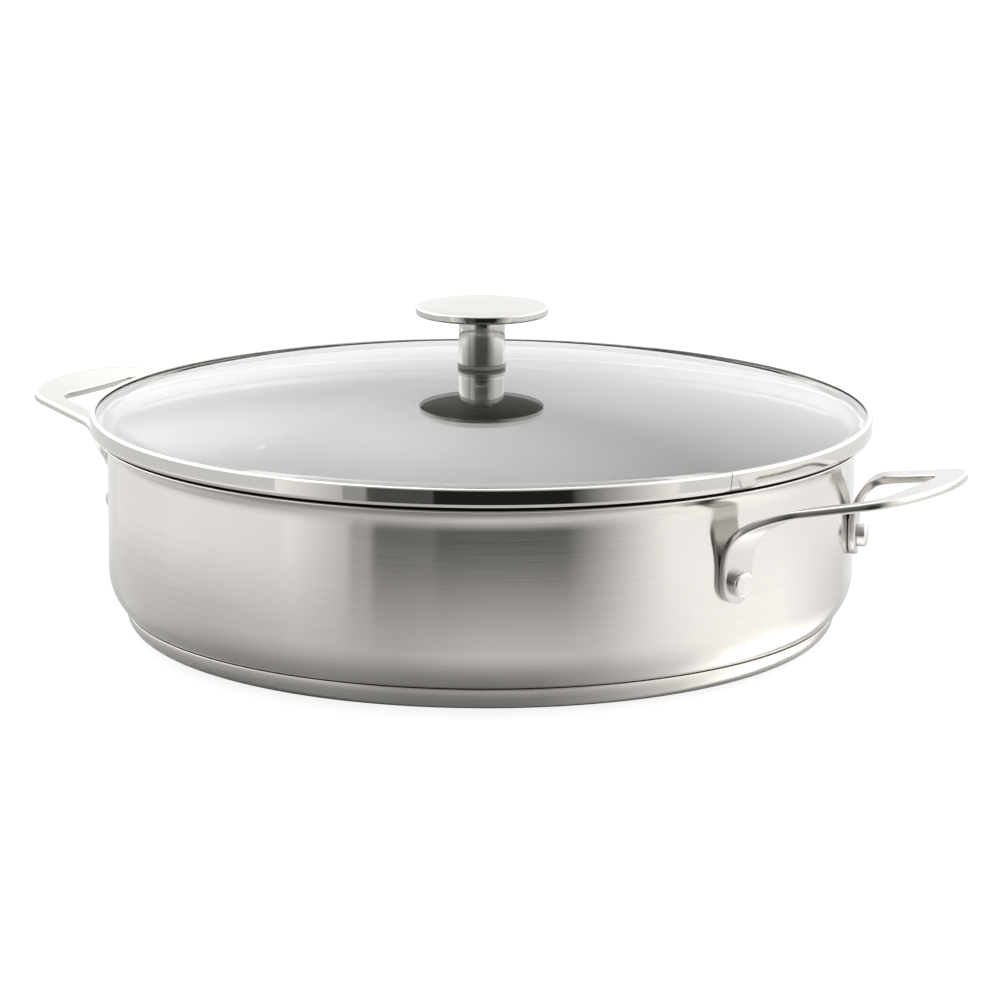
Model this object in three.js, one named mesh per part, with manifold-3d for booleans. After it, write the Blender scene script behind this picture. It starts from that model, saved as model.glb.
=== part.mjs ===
// A two-handled deep pan with a domed glass lid, as separate pieces that fit together.
// Millimetres, Z up, the table at Z = 0, the pan's axis on Z and the handles along X.
import * as THREE from "three";
import { mergeVertices } from "three/addons/utils/BufferGeometryUtils.js";
import Module from "manifold-3d";

const wasm = await Module();
wasm.setup();

const degrees = THREE.MathUtils.degToRad;

// Clearances between pieces
const SEAT_GAP = 0.3;
const BORE_CLEARANCE = 0.3;

// Facets of the large rings, the knob's rings and the rivets
const RING_SIDES = 60;
const KNOB_SIDES = 28;
const RIVET_SIDES = 16;

// Body: a drawn steel cup with a straight wall, a large bottom corner and a flared pouring lip
const WALL_RADIUS = 139;
const BODY_HEIGHT = 74.2;
const BODY_SHEET = 1;
const CORNER_RADIUS = 20;
const FLARE_RADIUS = 7;
const FLARE_TURN = degrees(60);

// Base: an aluminium core in a steel cap whose edge tucks under the body's corner
const BASE_DEPTH = 4.4;
const CAP_SHEET = 0.8;
const CAP_HEIGHT = 9;
const CAP_EDGE_RISE = 8;
const CAP_EDGE_RUN = 11;
const CAP_JOINT = 0.4;
const CORE_MARGIN = 3.5;

// Handles: a stamped plate whose bend follows the wall, with two legs and a window for the fingers
const HANDLE_PLATE = 2.9;
const LOOP_LENGTH = 53.4;
const LEG_SPACING = 90.7;
const LEG_WIDTH = 13.6;
const LEG_TOE = 0.6;
const BEND_RISE = 4.3;
const BEND_RADIUS = 21.4;
const BEND_SLOPE = degrees(17.3);
const EASE_RADIUS = 42;
const LOOP_SLOPE = degrees(11.6);
const LOOP_HALF_SPAN = 35.8;
const LOOP_CORNER = 15;
const ARM_WIDTH = 9.9;
const ARM_LEAN = degrees(13.3);
const ARM_START = 15;
const END_BAR = 15.3;
const WINDOW_CORNER = 8;

// Rivets: one through each leg, with a tall cylindrical head outside and a low one inside
const RIVET_HEIGHT = 42;
const RIVET_SHANK_RADIUS = 2.4;
const RIVET_HEAD_RADIUS = 4.5;
const RIVET_HEAD_HEIGHT = 3.6;
const RIVET_HEAD_ROUNDING = 0.8;
const RIVET_FOOT_RADIUS = 4.6;
const RIVET_FOOT_HEIGHT = 1.6;

// Lid: domed glass bedded in a steel channel whose underside is rolled to nest in the flared lip
const GLASS_THICKNESS = 3.4;
const GLASS_RISE = 16.3;
const GLASS_HOLE_RADIUS = 6;
const BEDDING_THICKNESS = 0.9;
const BEDDING_WIDTH = 3.2;
const BAND_SHEET = 0.7;
const BAND_OVERHANG = 2.9;
const BAND_TOP_WIDTH = 4.6;
const BAND_SHOULDER = 1;
const BEAD_HEIGHT = 1.5;
const BEAD_PROUD = 0.4;
const LID_SLOT = 1.8;
const ROLL_INSET = 0.9;

// Knob: a disc on a stem, drawn down on soft washers by a screw from below
const KNOB_HEIGHT = 23;
const DISC_RADIUS = 24.65;
const DISC_THICKNESS = 3;
const DISC_ROUNDING = 0.7;
const STEM_RADIUS = 8.6;
const SPIGOT_RADIUS = 5;
const SPIGOT_LENGTH = 1.4;
const SEAL_RADIUS = 9;
const SEAL_THICKNESS = 0.8;
const SLEEVE_LENGTH = 2;
const LOWER_SEAL_RADIUS = 9.6;
const LOWER_SEAL_THICKNESS = 1.5;
const WASHER_RADIUS = 9;
const WASHER_THICKNESS = 1.2;
const SCREW_RADIUS = 2.5;
const SCREW_HEAD_RADIUS = 4.6;
const SCREW_HEAD_HEIGHT = 2.6;
const SCREW_GRIP = 10;
const SCREW_HOLE_END = 1;

// Heights and radii that follow from the sizes above
const wallInner = WALL_RADIUS - BODY_SHEET;
const cornerCentre = new THREE.Vector2(WALL_RADIUS - CORNER_RADIUS, BASE_DEPTH + CORNER_RADIUS);
const flareInner = FLARE_RADIUS + BODY_SHEET;
const flareStart = BODY_HEIGHT - flareInner * Math.sin(FLARE_TURN);
const flareCentre = new THREE.Vector2(WALL_RADIUS + FLARE_RADIUS, flareStart);
const lipRadius = WALL_RADIUS + FLARE_RADIUS * (1 - Math.cos(FLARE_TURN));
const handleReach = WALL_RADIUS + LOOP_LENGTH;
const legAngle = Math.asin(LEG_SPACING / 2 / WALL_RADIUS);
const legInner = WALL_RADIUS + SEAT_GAP;
const legOuter = legInner + HANDLE_PLATE;
const legEndCentre = RIVET_HEIGHT - LEG_TOE;
const bandBottom = BODY_HEIGHT + SEAT_GAP + LID_SLOT;
const beddingBottom = bandBottom + BAND_SHEET + SEAT_GAP;
const glassRimBottom = beddingBottom + BEDDING_THICKNESS + SEAT_GAP;
const glassRimTop = glassRimBottom + GLASS_THICKNESS;
const bandTop = glassRimTop + SEAT_GAP + BAND_SHEET;
const bandRadius = lipRadius + BAND_OVERHANG;
const bandFace = bandRadius - BEAD_PROUD;
const bandMouth = bandRadius - BAND_TOP_WIDTH;
const glassRadius = bandFace - BAND_SHEET - SEAT_GAP;
const glassEdge = BAND_SHOULDER - BAND_SHEET;
const glassTop = glassRimTop + GLASS_RISE;
const glassUnder = glassTop - GLASS_THICKNESS;
const sealBottom = glassTop + SEAT_GAP;
const stemBottom = sealBottom + SEAL_THICKNESS + SEAT_GAP;
const knobTop = glassTop + KNOB_HEIGHT;
const discBottom = knobTop - DISC_THICKNESS;
const stemTop = discBottom - SEAT_GAP;
const lowerSealTop = glassUnder - SEAT_GAP;
const washerTop = lowerSealTop - LOWER_SEAL_THICKNESS - SEAT_GAP;
const screwHeadTop = washerTop - WASHER_THICKNESS - SEAT_GAP;
const screwBore = SCREW_RADIUS + BORE_CLEARANCE;

function metal(color, roughness) {
  return new THREE.MeshStandardMaterial({ color, roughness, metalness: 1 });
}

const satinSteel = metal(0xc9c8c4, 0.32);
const polishedSteel = metal(0xd8d8d6, 0.08);
const handleSteel = metal(0xcfcecb, 0.24);
const aluminium = metal(0xbfc1c4, 0.45);
const silicone = new THREE.MeshStandardMaterial({ color: 0x8f8f8d, roughness: 0.75, metalness: 0 });
const glass = new THREE.MeshStandardMaterial({
  color: 0xe6ebea,
  roughness: 0.03,
  metalness: 0,
  transparent: true,
  opacity: 0.35,
});

const pan = new THREE.Group();
pan.name = "two_handled_pan";

function addPiece(name, geometry, material) {
  const mesh = new THREE.Mesh(geometry, material);
  mesh.name = name;
  pan.add(mesh);
  return mesh;
}

// Points of a profile in the radius and height plane
function point(radius, height) {
  return new THREE.Vector2(radius, height);
}

function arc(centre, radius, from, to, steps, rise = radius) {
  return Array.from({ length: steps + 1 }, (_, i) => {
    const angle = from + ((to - from) * i) / steps;
    return point(centre.x + radius * Math.cos(angle), centre.y + rise * Math.sin(angle));
  });
}

// A profile turned about Z: it runs up on its outer side and either closes on itself or meets the axis
function revolve(profile, sides) {
  const onAxis = profile[0].x === 0;
  const outline = onAxis ? profile : [...profile, profile[0].clone()];
  return new THREE.LatheGeometry(outline, sides).rotateX(Math.PI / 2);
}

function toManifold(geometry) {
  const plain = geometry.clone();
  plain.deleteAttribute("normal");
  plain.deleteAttribute("uv");
  const welded = mergeVertices(plain, 1e-4);
  return new wasm.Manifold(
    new wasm.Mesh({
      numProp: 3,
      vertProperties: new Float32Array(welded.attributes.position.array),
      triVerts: new Uint32Array(welded.index.array),
    }),
  );
}

function toGeometry(solid) {
  const mesh = solid.getMesh();
  const geometry = new THREE.BufferGeometry();
  geometry.setAttribute("position", new THREE.BufferAttribute(mesh.vertProperties, 3));
  geometry.setIndex(new THREE.BufferAttribute(mesh.triVerts, 1));
  geometry.computeVertexNormals();
  return geometry;
}

// The four places where a leg meets the wall, as turns about Z
const legPlaces = [
  { handle: "right", side: "front", turn: -legAngle },
  { handle: "right", side: "rear", turn: legAngle },
  { handle: "left", side: "front", turn: Math.PI + legAngle },
  { handle: "left", side: "rear", turn: Math.PI - legAngle },
];

// A round bore through wall or leg, along the radius at a rivet's height
function rivetBore(turn) {
  const length = 6 * (BODY_SHEET + HANDLE_PLATE);
  const bore = new THREE.CylinderGeometry(
    RIVET_SHANK_RADIUS + BORE_CLEARANCE,
    RIVET_SHANK_RADIUS + BORE_CLEARANCE,
    length,
    RIVET_SIDES,
  );
  return bore.rotateZ(Math.PI / 2).translate(legInner, 0, RIVET_HEIGHT).rotateZ(turn);
}

// Body
function bodyGeometry() {
  const lipAngle = Math.PI - FLARE_TURN;
  const cornerSteps = 6;
  const flareSteps = 3;
  const profile = [
    point(0, BASE_DEPTH),
    ...arc(cornerCentre, CORNER_RADIUS, -Math.PI / 2, 0, cornerSteps),
    ...arc(flareCentre, FLARE_RADIUS, Math.PI, lipAngle, flareSteps),
    ...arc(flareCentre, flareInner, lipAngle, Math.PI, flareSteps),
    ...arc(cornerCentre, CORNER_RADIUS - BODY_SHEET, 0, -Math.PI / 2, cornerSteps),
    point(0, BASE_DEPTH + BODY_SHEET),
  ];
  const drilled = legPlaces.reduce(
    (solid, place) => solid.subtract(toManifold(rivetBore(place.turn))),
    toManifold(revolve(profile, RING_SIDES)),
  );
  return toGeometry(drilled);
}
addPiece("pan_shell", bodyGeometry(), satinSteel);

// Height of the curve that runs at a distance below the body's corner, and its radius at a height
function underCorner(radius, distance) {
  const run = Math.max(0, radius - cornerCentre.x);
  return cornerCentre.y - Math.sqrt((CORNER_RADIUS + distance) ** 2 - run ** 2);
}

function cornerRadiusAt(height, distance) {
  const drop = cornerCentre.y - height;
  return cornerCentre.x + Math.sqrt((CORNER_RADIUS + distance) ** 2 - drop ** 2);
}

// Base cap: its upper edge is cut to follow the corner with a fine open joint
const capRadius = cornerRadiusAt(CAP_HEIGHT, CAP_JOINT);
const capEdgeCentre = point(capRadius - CAP_EDGE_RUN, CAP_EDGE_RISE);
const capInner = capRadius - CAP_SHEET;

function capGeometry() {
  const edgeSteps = 5;
  const down = -Math.PI / 2;
  return revolve(
    [
      point(0, 0),
      ...arc(capEdgeCentre, CAP_EDGE_RUN, down, 0, edgeSteps, CAP_EDGE_RISE),
      point(capRadius, CAP_HEIGHT),
      point(capInner, underCorner(capInner, CAP_JOINT)),
      ...arc(capEdgeCentre, CAP_EDGE_RUN - CAP_SHEET, 0, down, edgeSteps, CAP_EDGE_RISE - CAP_SHEET).slice(1),
      point(0, CAP_SHEET),
    ],
    RING_SIDES,
  );
}
addPiece("base_cap", capGeometry(), satinSteel);

// Base core: fills the cap up to the body's floor and the start of its corner
function coreGeometry() {
  const coreRadius = capInner - CORE_MARGIN;
  const edgeRun = CAP_EDGE_RUN - CAP_SHEET - SEAT_GAP;
  const edgeRise = CAP_EDGE_RISE - CAP_SHEET - SEAT_GAP;
  const edgeEnd = -Math.acos((coreRadius - capEdgeCentre.x) / edgeRun);
  const middle = (cornerCentre.x + coreRadius) / 2;
  return revolve(
    [
      point(0, CAP_SHEET + SEAT_GAP),
      ...arc(capEdgeCentre, edgeRun, -Math.PI / 2, edgeEnd, 2, edgeRise),
      point(coreRadius, underCorner(coreRadius, SEAT_GAP)),
      point(middle, underCorner(middle, SEAT_GAP)),
      point(cornerCentre.x, BASE_DEPTH - SEAT_GAP),
      point(0, BASE_DEPTH - SEAT_GAP),
    ],
    RING_SIDES,
  );
}
addPiece("base_core", coreGeometry(), aluminium);

// Handle: side profile of the plate's middle line, from the foot of a leg to past the loop's end
function handleMiddleLine() {
  const middle = legInner + HANDLE_PLATE / 2;
  const bendStart = RIVET_HEIGHT + BEND_RISE;
  const upright = Math.PI / 2;
  const bendCentre = point(middle + BEND_RADIUS, bendStart);
  const bendSteps = 6;
  const easeSteps = 3;
  const line = [{ at: point(middle, legEndCentre - LEG_WIDTH / 2), slope: upright }];
  for (let i = 0; i <= bendSteps; i += 1) {
    const slope = upright + ((BEND_SLOPE - upright) * i) / bendSteps;
    const at = point(-Math.sin(slope), Math.cos(slope)).multiplyScalar(BEND_RADIUS).add(bendCentre);
    line.push({ at, slope });
  }
  const easeCentre = point(Math.sin(BEND_SLOPE), -Math.cos(BEND_SLOPE))
    .multiplyScalar(EASE_RADIUS)
    .add(line.at(-1).at);
  for (let i = 1; i <= easeSteps; i += 1) {
    const slope = BEND_SLOPE + ((LOOP_SLOPE - BEND_SLOPE) * i) / easeSteps;
    const at = point(-Math.sin(slope), Math.cos(slope)).multiplyScalar(EASE_RADIUS).add(easeCentre);
    line.push({ at, slope });
  }
  const last = line.at(-1).at;
  const run = handleReach + HANDLE_PLATE - last.x;
  line.push({ at: point(last.x + run, last.y + run * Math.tan(LOOP_SLOPE)), slope: LOOP_SLOPE });
  return line;
}

// The plate before it is cut out: the side profile swept round the pan's axis, closed at both ends
function handlePlate() {
  const line = handleMiddleLine();
  const offset = (side) =>
    line.map(({ at, slope }) =>
      point(-Math.sin(slope), Math.cos(slope)).multiplyScalar((side * HANDLE_PLATE) / 2).add(at),
    );
  const section = [...offset(-1), ...offset(1).reverse()];
  const halfSweep = Math.asin((LEG_SPACING / 2 + LEG_WIDTH) / WALL_RADIUS);
  const sweepSteps = 20;
  const positions = [];
  const index = [];
  const count = section.length;
  for (let step = 0; step <= sweepSteps; step += 1) {
    const turn = halfSweep * ((2 * step) / sweepSteps - 1);
    section.forEach((p) => positions.push(p.x * Math.cos(turn), p.x * Math.sin(turn), p.y));
  }
  for (let step = 0; step < sweepSteps; step += 1) {
    for (let k = 0; k < count; k += 1) {
      const a = step * count + k;
      const b = step * count + ((k + 1) % count);
      index.push(a, b + count, b, a, a + count, b + count);
    }
  }
  const lastRing = sweepSteps * count;
  THREE.ShapeUtils.triangulateShape(section, []).forEach(([a, b, c]) => {
    index.push(a, b, c);
    index.push(a + lastRing, c + lastRing, b + lastRing);
  });
  const geometry = new THREE.BufferGeometry();
  geometry.setAttribute("position", new THREE.Float32BufferAttribute(positions, 3));
  geometry.setIndex(index);
  return geometry;
}

// A point on a leg's edge, seen from above: out along the leg's radius and across it
function legEdge(radius, across) {
  const along = new THREE.Vector2(Math.cos(legAngle), Math.sin(legAngle));
  const square = new THREE.Vector2(-along.y, along.x);
  return along.multiplyScalar(radius).addScaledVector(square, across);
}

// Half of one edge of the loop, from inside the wall along a leg and an arm to the handle's middle
function halfEdge(across, inset, end, cornerLength) {
  const legStart = legEdge(WALL_RADIUS - 2 * HANDLE_PLATE, across);
  const legEnd = legEdge(legOuter, across);
  const lean = new THREE.Vector2(Math.cos(ARM_LEAN), -Math.sin(ARM_LEAN));
  const shoulder = handleReach - LOOP_CORNER;
  const halfSpan = LOOP_HALF_SPAN - inset / Math.cos(ARM_LEAN);
  const onArm = (x) => new THREE.Vector2(x, halfSpan + (shoulder - x) * Math.tan(ARM_LEAN));
  const armStart = onArm(WALL_RADIUS + ARM_START);
  const armEnd = onArm(end - cornerLength);
  const swing = legEnd.distanceTo(armStart) / 3;
  const out = new THREE.Vector2(Math.cos(legAngle), Math.sin(legAngle));
  const path = new THREE.Path();
  const curve = (a, b, c) => path.bezierCurveTo(a.x, a.y, b.x, b.y, c.x, c.y);
  path.moveTo(legStart.x, legStart.y);
  path.lineTo(legEnd.x, legEnd.y);
  curve(legEnd.clone().addScaledVector(out, swing), armStart.clone().addScaledVector(lean, -swing), armStart);
  path.lineTo(armEnd.x, armEnd.y);
  return { path, armEnd, lean, curve };
}

function loopOutline() {
  const curveSteps = 6;
  const outer = halfEdge(LEG_WIDTH / 2, 0, handleReach, LOOP_CORNER);
  outer.curve(
    outer.armEnd.clone().addScaledVector(outer.lean, LOOP_CORNER * Math.SQRT1_2),
    new THREE.Vector2(handleReach, LOOP_CORNER),
    new THREE.Vector2(handleReach, 0),
  );
  const windowEnd = handleReach - END_BAR;
  const inner = halfEdge(-LEG_WIDTH / 2, ARM_WIDTH, windowEnd, WINDOW_CORNER);
  const cornerStop = inner.armEnd.y - WINDOW_CORNER;
  const half = 1 / 2;
  inner.curve(
    inner.armEnd.clone().addScaledVector(inner.lean, WINDOW_CORNER * half),
    new THREE.Vector2(windowEnd, cornerStop + WINDOW_CORNER * half),
    new THREE.Vector2(windowEnd, cornerStop),
  );
  const outerHalf = outer.path.getPoints(curveSteps);
  const innerHalf = inner.path.getPoints(curveSteps);
  const mirrored = (points) => points.map((p) => new THREE.Vector2(p.x, -p.y));
  return new THREE.Shape([
    ...mirrored(outerHalf),
    ...outerHalf.slice(0, -1).reverse(),
    ...innerHalf,
    ...mirrored(innerHalf).reverse(),
  ]);
}

// What is cut away below a rivet so that the leg ends in a half round
function legEndCut(turn) {
  const round = LEG_WIDTH / 2;
  const margin = LEG_WIDTH;
  const shape = new THREE.Shape();
  shape.moveTo(-margin, -margin);
  shape.lineTo(margin, -margin);
  shape.lineTo(margin, 0);
  shape.lineTo(round, 0);
  shape.absarc(0, 0, round, 0, -Math.PI, true);
  shape.lineTo(-margin, 0);
  const depth = 4 * HANDLE_PLATE;
  const cut = new THREE.ExtrudeGeometry(shape, { depth, bevelEnabled: false, curveSegments: 8 });
  cut.rotateX(Math.PI / 2).rotateZ(Math.PI / 2);
  return cut.translate(legInner - depth / 2, 0, legEndCentre).rotateZ(turn);
}

function handleGeometry() {
  const loopTop = 2 * BODY_HEIGHT;
  const cutOut = new THREE.ExtrudeGeometry(loopOutline(), { depth: loopTop, bevelEnabled: false });
  let solid = toManifold(handlePlate()).intersect(toManifold(cutOut));
  [-legAngle, legAngle].forEach((turn) => {
    solid = solid.subtract(toManifold(legEndCut(turn))).subtract(toManifold(rivetBore(turn)));
  });
  return toGeometry(solid);
}

const handleShape = handleGeometry();
addPiece("handle_right", handleShape, handleSteel);
addPiece("handle_left", handleShape.clone(), handleSteel).rotation.z = Math.PI;

// Rivet: turned along its own axis, then laid along the radius
function rivetGeometry() {
  const foot = wallInner - SEAT_GAP;
  const head = legOuter + SEAT_GAP;
  const headEnd = head + RIVET_HEAD_HEIGHT;
  const rounding = point(RIVET_HEAD_RADIUS - RIVET_HEAD_ROUNDING, headEnd - RIVET_HEAD_ROUNDING);
  const softened = foot - RIVET_FOOT_HEIGHT / 2;
  const profile = [
    point(0, foot - RIVET_FOOT_HEIGHT),
    point(RIVET_FOOT_RADIUS - RIVET_FOOT_HEIGHT / 2, foot - RIVET_FOOT_HEIGHT),
    point(RIVET_FOOT_RADIUS, softened),
    point(RIVET_FOOT_RADIUS, foot),
    point(RIVET_SHANK_RADIUS, foot),
    point(RIVET_SHANK_RADIUS, head),
    point(RIVET_HEAD_RADIUS, head),
    ...arc(rounding, RIVET_HEAD_ROUNDING, 0, Math.PI / 2, 2),
    point(0, headEnd),
  ];
  return revolve(profile, RIVET_SIDES).rotateY(Math.PI / 2);
}

const rivetShape = rivetGeometry();
legPlaces.forEach(({ handle, side, turn }) => {
  const rivet = addPiece(`rivet_${handle}_${side}`, rivetShape.clone(), handleSteel);
  rivet.position.z = RIVET_HEIGHT;
  rivet.rotation.z = turn;
});

// Lid glass: a spherical dome with a level rim ground to fit the band, and a hole for the knob's screw
function glassGeometry() {
  const domeFoot = bandMouth - 2 * SEAT_GAP;
  const domeRadius = (domeFoot ** 2 + GLASS_RISE ** 2) / (2 * GLASS_RISE);
  const domeHeight = (radius) => Math.sqrt(domeRadius ** 2 - radius ** 2) - (domeRadius - GLASS_RISE);
  const domeSteps = 4;
  const stations = Array.from({ length: domeSteps + 1 }, (_, i) => {
    const share = i / domeSteps;
    return domeFoot + (GLASS_HOLE_RADIUS - domeFoot) * share;
  });
  const over = stations.map((radius) => point(radius, glassRimTop + domeHeight(radius)));
  const under = over.map((p) => point(p.x, p.y - GLASS_THICKNESS)).reverse();
  return revolve(
    [
      ...under,
      point(glassRadius, glassRimBottom),
      point(glassRadius, glassRimTop - glassEdge),
      point(glassRadius - glassEdge, glassRimTop),
      ...over,
    ],
    RING_SIDES,
  );
}
addPiece("lid_glass", glassGeometry(), glass);

// Lid band: a channel round the glass edge, a bead along its foot and a roll that rests in the flared lip
function bandGeometry() {
  const inside = bandFace - BAND_SHEET;
  const shoulder = point(bandFace - BAND_SHOULDER, bandTop - BAND_SHOULDER);
  const shoulderSteps = 2;
  const beadRound = BEAD_HEIGHT / 3;
  const rollCentre = point(wallInner - ROLL_INSET, bandBottom);
  const rollRadius = rollCentre.distanceTo(flareCentre) - flareInner - SEAT_GAP;
  const rollInner = rollRadius - BAND_SHEET;
  const down = -Math.PI / 2;
  const rollSteps = 2;
  return revolve(
    [
      ...arc(rollCentre, rollRadius, down, 0, rollSteps),
      point(bandRadius - beadRound, bandBottom),
      point(bandRadius, bandBottom + beadRound),
      point(bandRadius, bandBottom + BEAD_HEIGHT - beadRound),
      point(bandFace, bandBottom + BEAD_HEIGHT),
      ...arc(shoulder, BAND_SHOULDER, 0, Math.PI / 2, shoulderSteps),
      point(bandMouth, bandTop),
      point(bandMouth, bandTop - BAND_SHEET),
      point(shoulder.x, bandTop - BAND_SHEET),
      point(inside, shoulder.y),
      point(inside, bandBottom + BAND_SHEET),
      point(rollCentre.x + rollInner, bandBottom + BAND_SHEET),
      ...arc(rollCentre, rollInner, 0, down, rollSteps),
    ],
    RING_SIDES,
  );
}
addPiece("lid_band", bandGeometry(), polishedSteel);

// Bedding: a flat silicone ring under the glass edge
function beddingGeometry() {
  const top = beddingBottom + BEDDING_THICKNESS;
  return revolve(
    [
      point(glassRadius - BEDDING_WIDTH, beddingBottom),
      point(glassRadius, beddingBottom),
      point(glassRadius, top),
      point(glassRadius - BEDDING_WIDTH, top),
    ],
    RING_SIDES,
  );
}
addPiece("glass_bedding", beddingGeometry(), silicone);

// Knob disc: softened edges and a blind socket below for the stem's spigot
function discGeometry() {
  const edge = DISC_RADIUS - DISC_ROUNDING;
  const socket = SPIGOT_RADIUS + BORE_CLEARANCE;
  const socketTop = discBottom + SPIGOT_LENGTH;
  return revolve(
    [
      point(0, socketTop),
      point(socket, socketTop),
      point(socket, discBottom),
      ...arc(point(edge, discBottom + DISC_ROUNDING), DISC_ROUNDING, -Math.PI / 2, 0, 2),
      ...arc(point(edge, knobTop - DISC_ROUNDING), DISC_ROUNDING, 0, Math.PI / 2, 2),
      point(0, knobTop),
    ],
    KNOB_SIDES,
  );
}
addPiece("knob_disc", discGeometry(), polishedSteel);

// Knob stem: a spigot on top and a blind bore below for the screw
function stemGeometry() {
  const boreTop = stemBottom + SCREW_GRIP + SCREW_HOLE_END;
  const spigotTop = stemTop + SPIGOT_LENGTH;
  return revolve(
    [
      point(0, boreTop),
      point(screwBore, boreTop),
      point(screwBore, stemBottom),
      point(STEM_RADIUS, stemBottom),
      point(STEM_RADIUS, stemTop),
      point(SPIGOT_RADIUS, stemTop),
      point(SPIGOT_RADIUS, spigotTop),
      point(0, spigotTop),
    ],
    KNOB_SIDES,
  );
}
addPiece("knob_stem", stemGeometry(), polishedSteel);

// Knob seal: a washer on the glass with a sleeve that keeps the screw off the glass
function sealGeometry() {
  const sleeveRadius = GLASS_HOLE_RADIUS - BORE_CLEARANCE;
  const sealTop = sealBottom + SEAL_THICKNESS;
  return revolve(
    [
      point(screwBore, sealBottom - SLEEVE_LENGTH),
      point(sleeveRadius, sealBottom - SLEEVE_LENGTH),
      point(sleeveRadius, sealBottom),
      point(SEAL_RADIUS, sealBottom),
      point(SEAL_RADIUS, sealTop),
      point(screwBore, sealTop),
    ],
    KNOB_SIDES,
  );
}
addPiece("knob_seal", sealGeometry(), silicone);

// Washers under the glass: a soft one and a steel one
function washerGeometry(radius, top, thickness) {
  return revolve(
    [
      point(screwBore, top - thickness),
      point(radius, top - thickness),
      point(radius, top),
      point(screwBore, top),
    ],
    KNOB_SIDES,
  );
}
const lowerSealShape = washerGeometry(LOWER_SEAL_RADIUS, lowerSealTop, LOWER_SEAL_THICKNESS);
addPiece("lower_seal", lowerSealShape, silicone);
const screwWasherShape = washerGeometry(WASHER_RADIUS, washerTop, WASHER_THICKNESS);
addPiece("screw_washer", screwWasherShape, satinSteel);

// Knob screw: a low domed head under the washer and a shank up into the stem
function screwGeometry() {
  const headBottom = screwHeadTop - SCREW_HEAD_HEIGHT;
  const middle = screwHeadTop - SCREW_HEAD_HEIGHT / 2;
  const flat = SCREW_HEAD_RADIUS / 2;
  return revolve(
    [
      point(0, headBottom),
      point(flat, headBottom),
      point(SCREW_HEAD_RADIUS, middle),
      point(SCREW_HEAD_RADIUS, screwHeadTop),
      point(SCREW_RADIUS, screwHeadTop),
      point(SCREW_RADIUS, stemBottom + SCREW_GRIP),
      point(0, stemBottom + SCREW_GRIP),
    ],
    KNOB_SIDES,
  );
}
addPiece("knob_screw", screwGeometry(), satinSteel);

export default pan;
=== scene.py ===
import math

import bmesh
import bpy
from mathutils import Matrix, Vector


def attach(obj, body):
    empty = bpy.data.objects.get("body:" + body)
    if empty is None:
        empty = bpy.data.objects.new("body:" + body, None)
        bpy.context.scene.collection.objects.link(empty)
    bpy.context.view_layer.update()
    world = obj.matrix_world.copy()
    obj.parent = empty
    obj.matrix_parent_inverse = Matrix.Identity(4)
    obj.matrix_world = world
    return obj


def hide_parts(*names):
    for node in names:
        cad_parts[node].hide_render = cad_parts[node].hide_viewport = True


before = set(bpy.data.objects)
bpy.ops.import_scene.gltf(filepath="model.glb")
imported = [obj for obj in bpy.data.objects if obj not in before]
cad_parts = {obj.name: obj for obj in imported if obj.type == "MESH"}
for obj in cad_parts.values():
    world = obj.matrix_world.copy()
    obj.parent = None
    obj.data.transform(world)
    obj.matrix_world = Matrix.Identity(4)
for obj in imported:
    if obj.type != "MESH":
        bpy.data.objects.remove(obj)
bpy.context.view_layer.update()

# ---------------------------------------------------------------------------------------------
# Pan body. One cup deep-drawn from 1 mm stainless sheet, with a large corner at its foot and a
# flared pouring lip. It is spun against abrasive belts, so the outside carries fine rings.
# ---------------------------------------------------------------------------------------------
MM = 0.001
QUARTER = math.pi / 2
WALL_RADIUS = 139.0
WALL_SHEET = 1.0
BODY_HEIGHT = 74.95
BODY_FLOOR = 4.4
CORNER_RADIUS = 20.0
CORNER_CENTRE = (WALL_RADIUS - CORNER_RADIUS, BODY_FLOOR + CORNER_RADIUS)
LIP_SWELL = 28.0
LIP_START = math.radians(7)
LIP_CURVE = 5.0
LIP_TURN = math.radians(75)
LIP_EDGE = WALL_SHEET / 2
LIP_CENTRE = (
    WALL_RADIUS + LIP_SWELL - (LIP_SWELL - LIP_CURVE) * math.cos(LIP_START),
    BODY_HEIGHT - LIP_EDGE - (LIP_CURVE + LIP_EDGE) * math.sin(LIP_TURN),
)
SWELL_CENTRE = (
    WALL_RADIUS + LIP_SWELL,
    LIP_CENTRE[1] - (LIP_SWELL - LIP_CURVE) * math.sin(LIP_START),
)
FLOOR_STATION = 60.0
WALL_STATIONS = (35.0, 47.0, 59.0)
CORNER_STEPS, SWELL_STEPS, LIP_STEPS, LIP_EDGE_STEPS = 24, 8, 10, 8
RING_STATIONS = 320
MANDREL = 1.0
SAME_POINT = 0.002
SLIVER = 0.001


def linear(hex_colour):
    """An sRGB hex colour as linear red, green and blue, with full alpha."""
    channels = [int(hex_colour[i : i + 2], 16) / 255 for i in (1, 3, 5)]
    light = [c / 12.92 if c <= 0.04045 else ((c + 0.055) / 1.055) ** 2.4 for c in channels]
    return light + [1.0]


def fill(tree, node, sockets):
    """Gives each named socket of a node a value, or a link from another node's socket."""
    for name, value in sockets.items():
        if isinstance(value, bpy.types.NodeSocket):
            tree.links.new(value, node.inputs[name])
        else:
            node.inputs[name].default_value = value


def add_node(tree, kind, sockets=None, **settings):
    """Adds a node with its settings and fills its sockets."""
    node = tree.nodes.new(kind)
    for name, value in settings.items():
        setattr(node, name, value)
    fill(tree, node, sockets or {})
    return node


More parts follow.
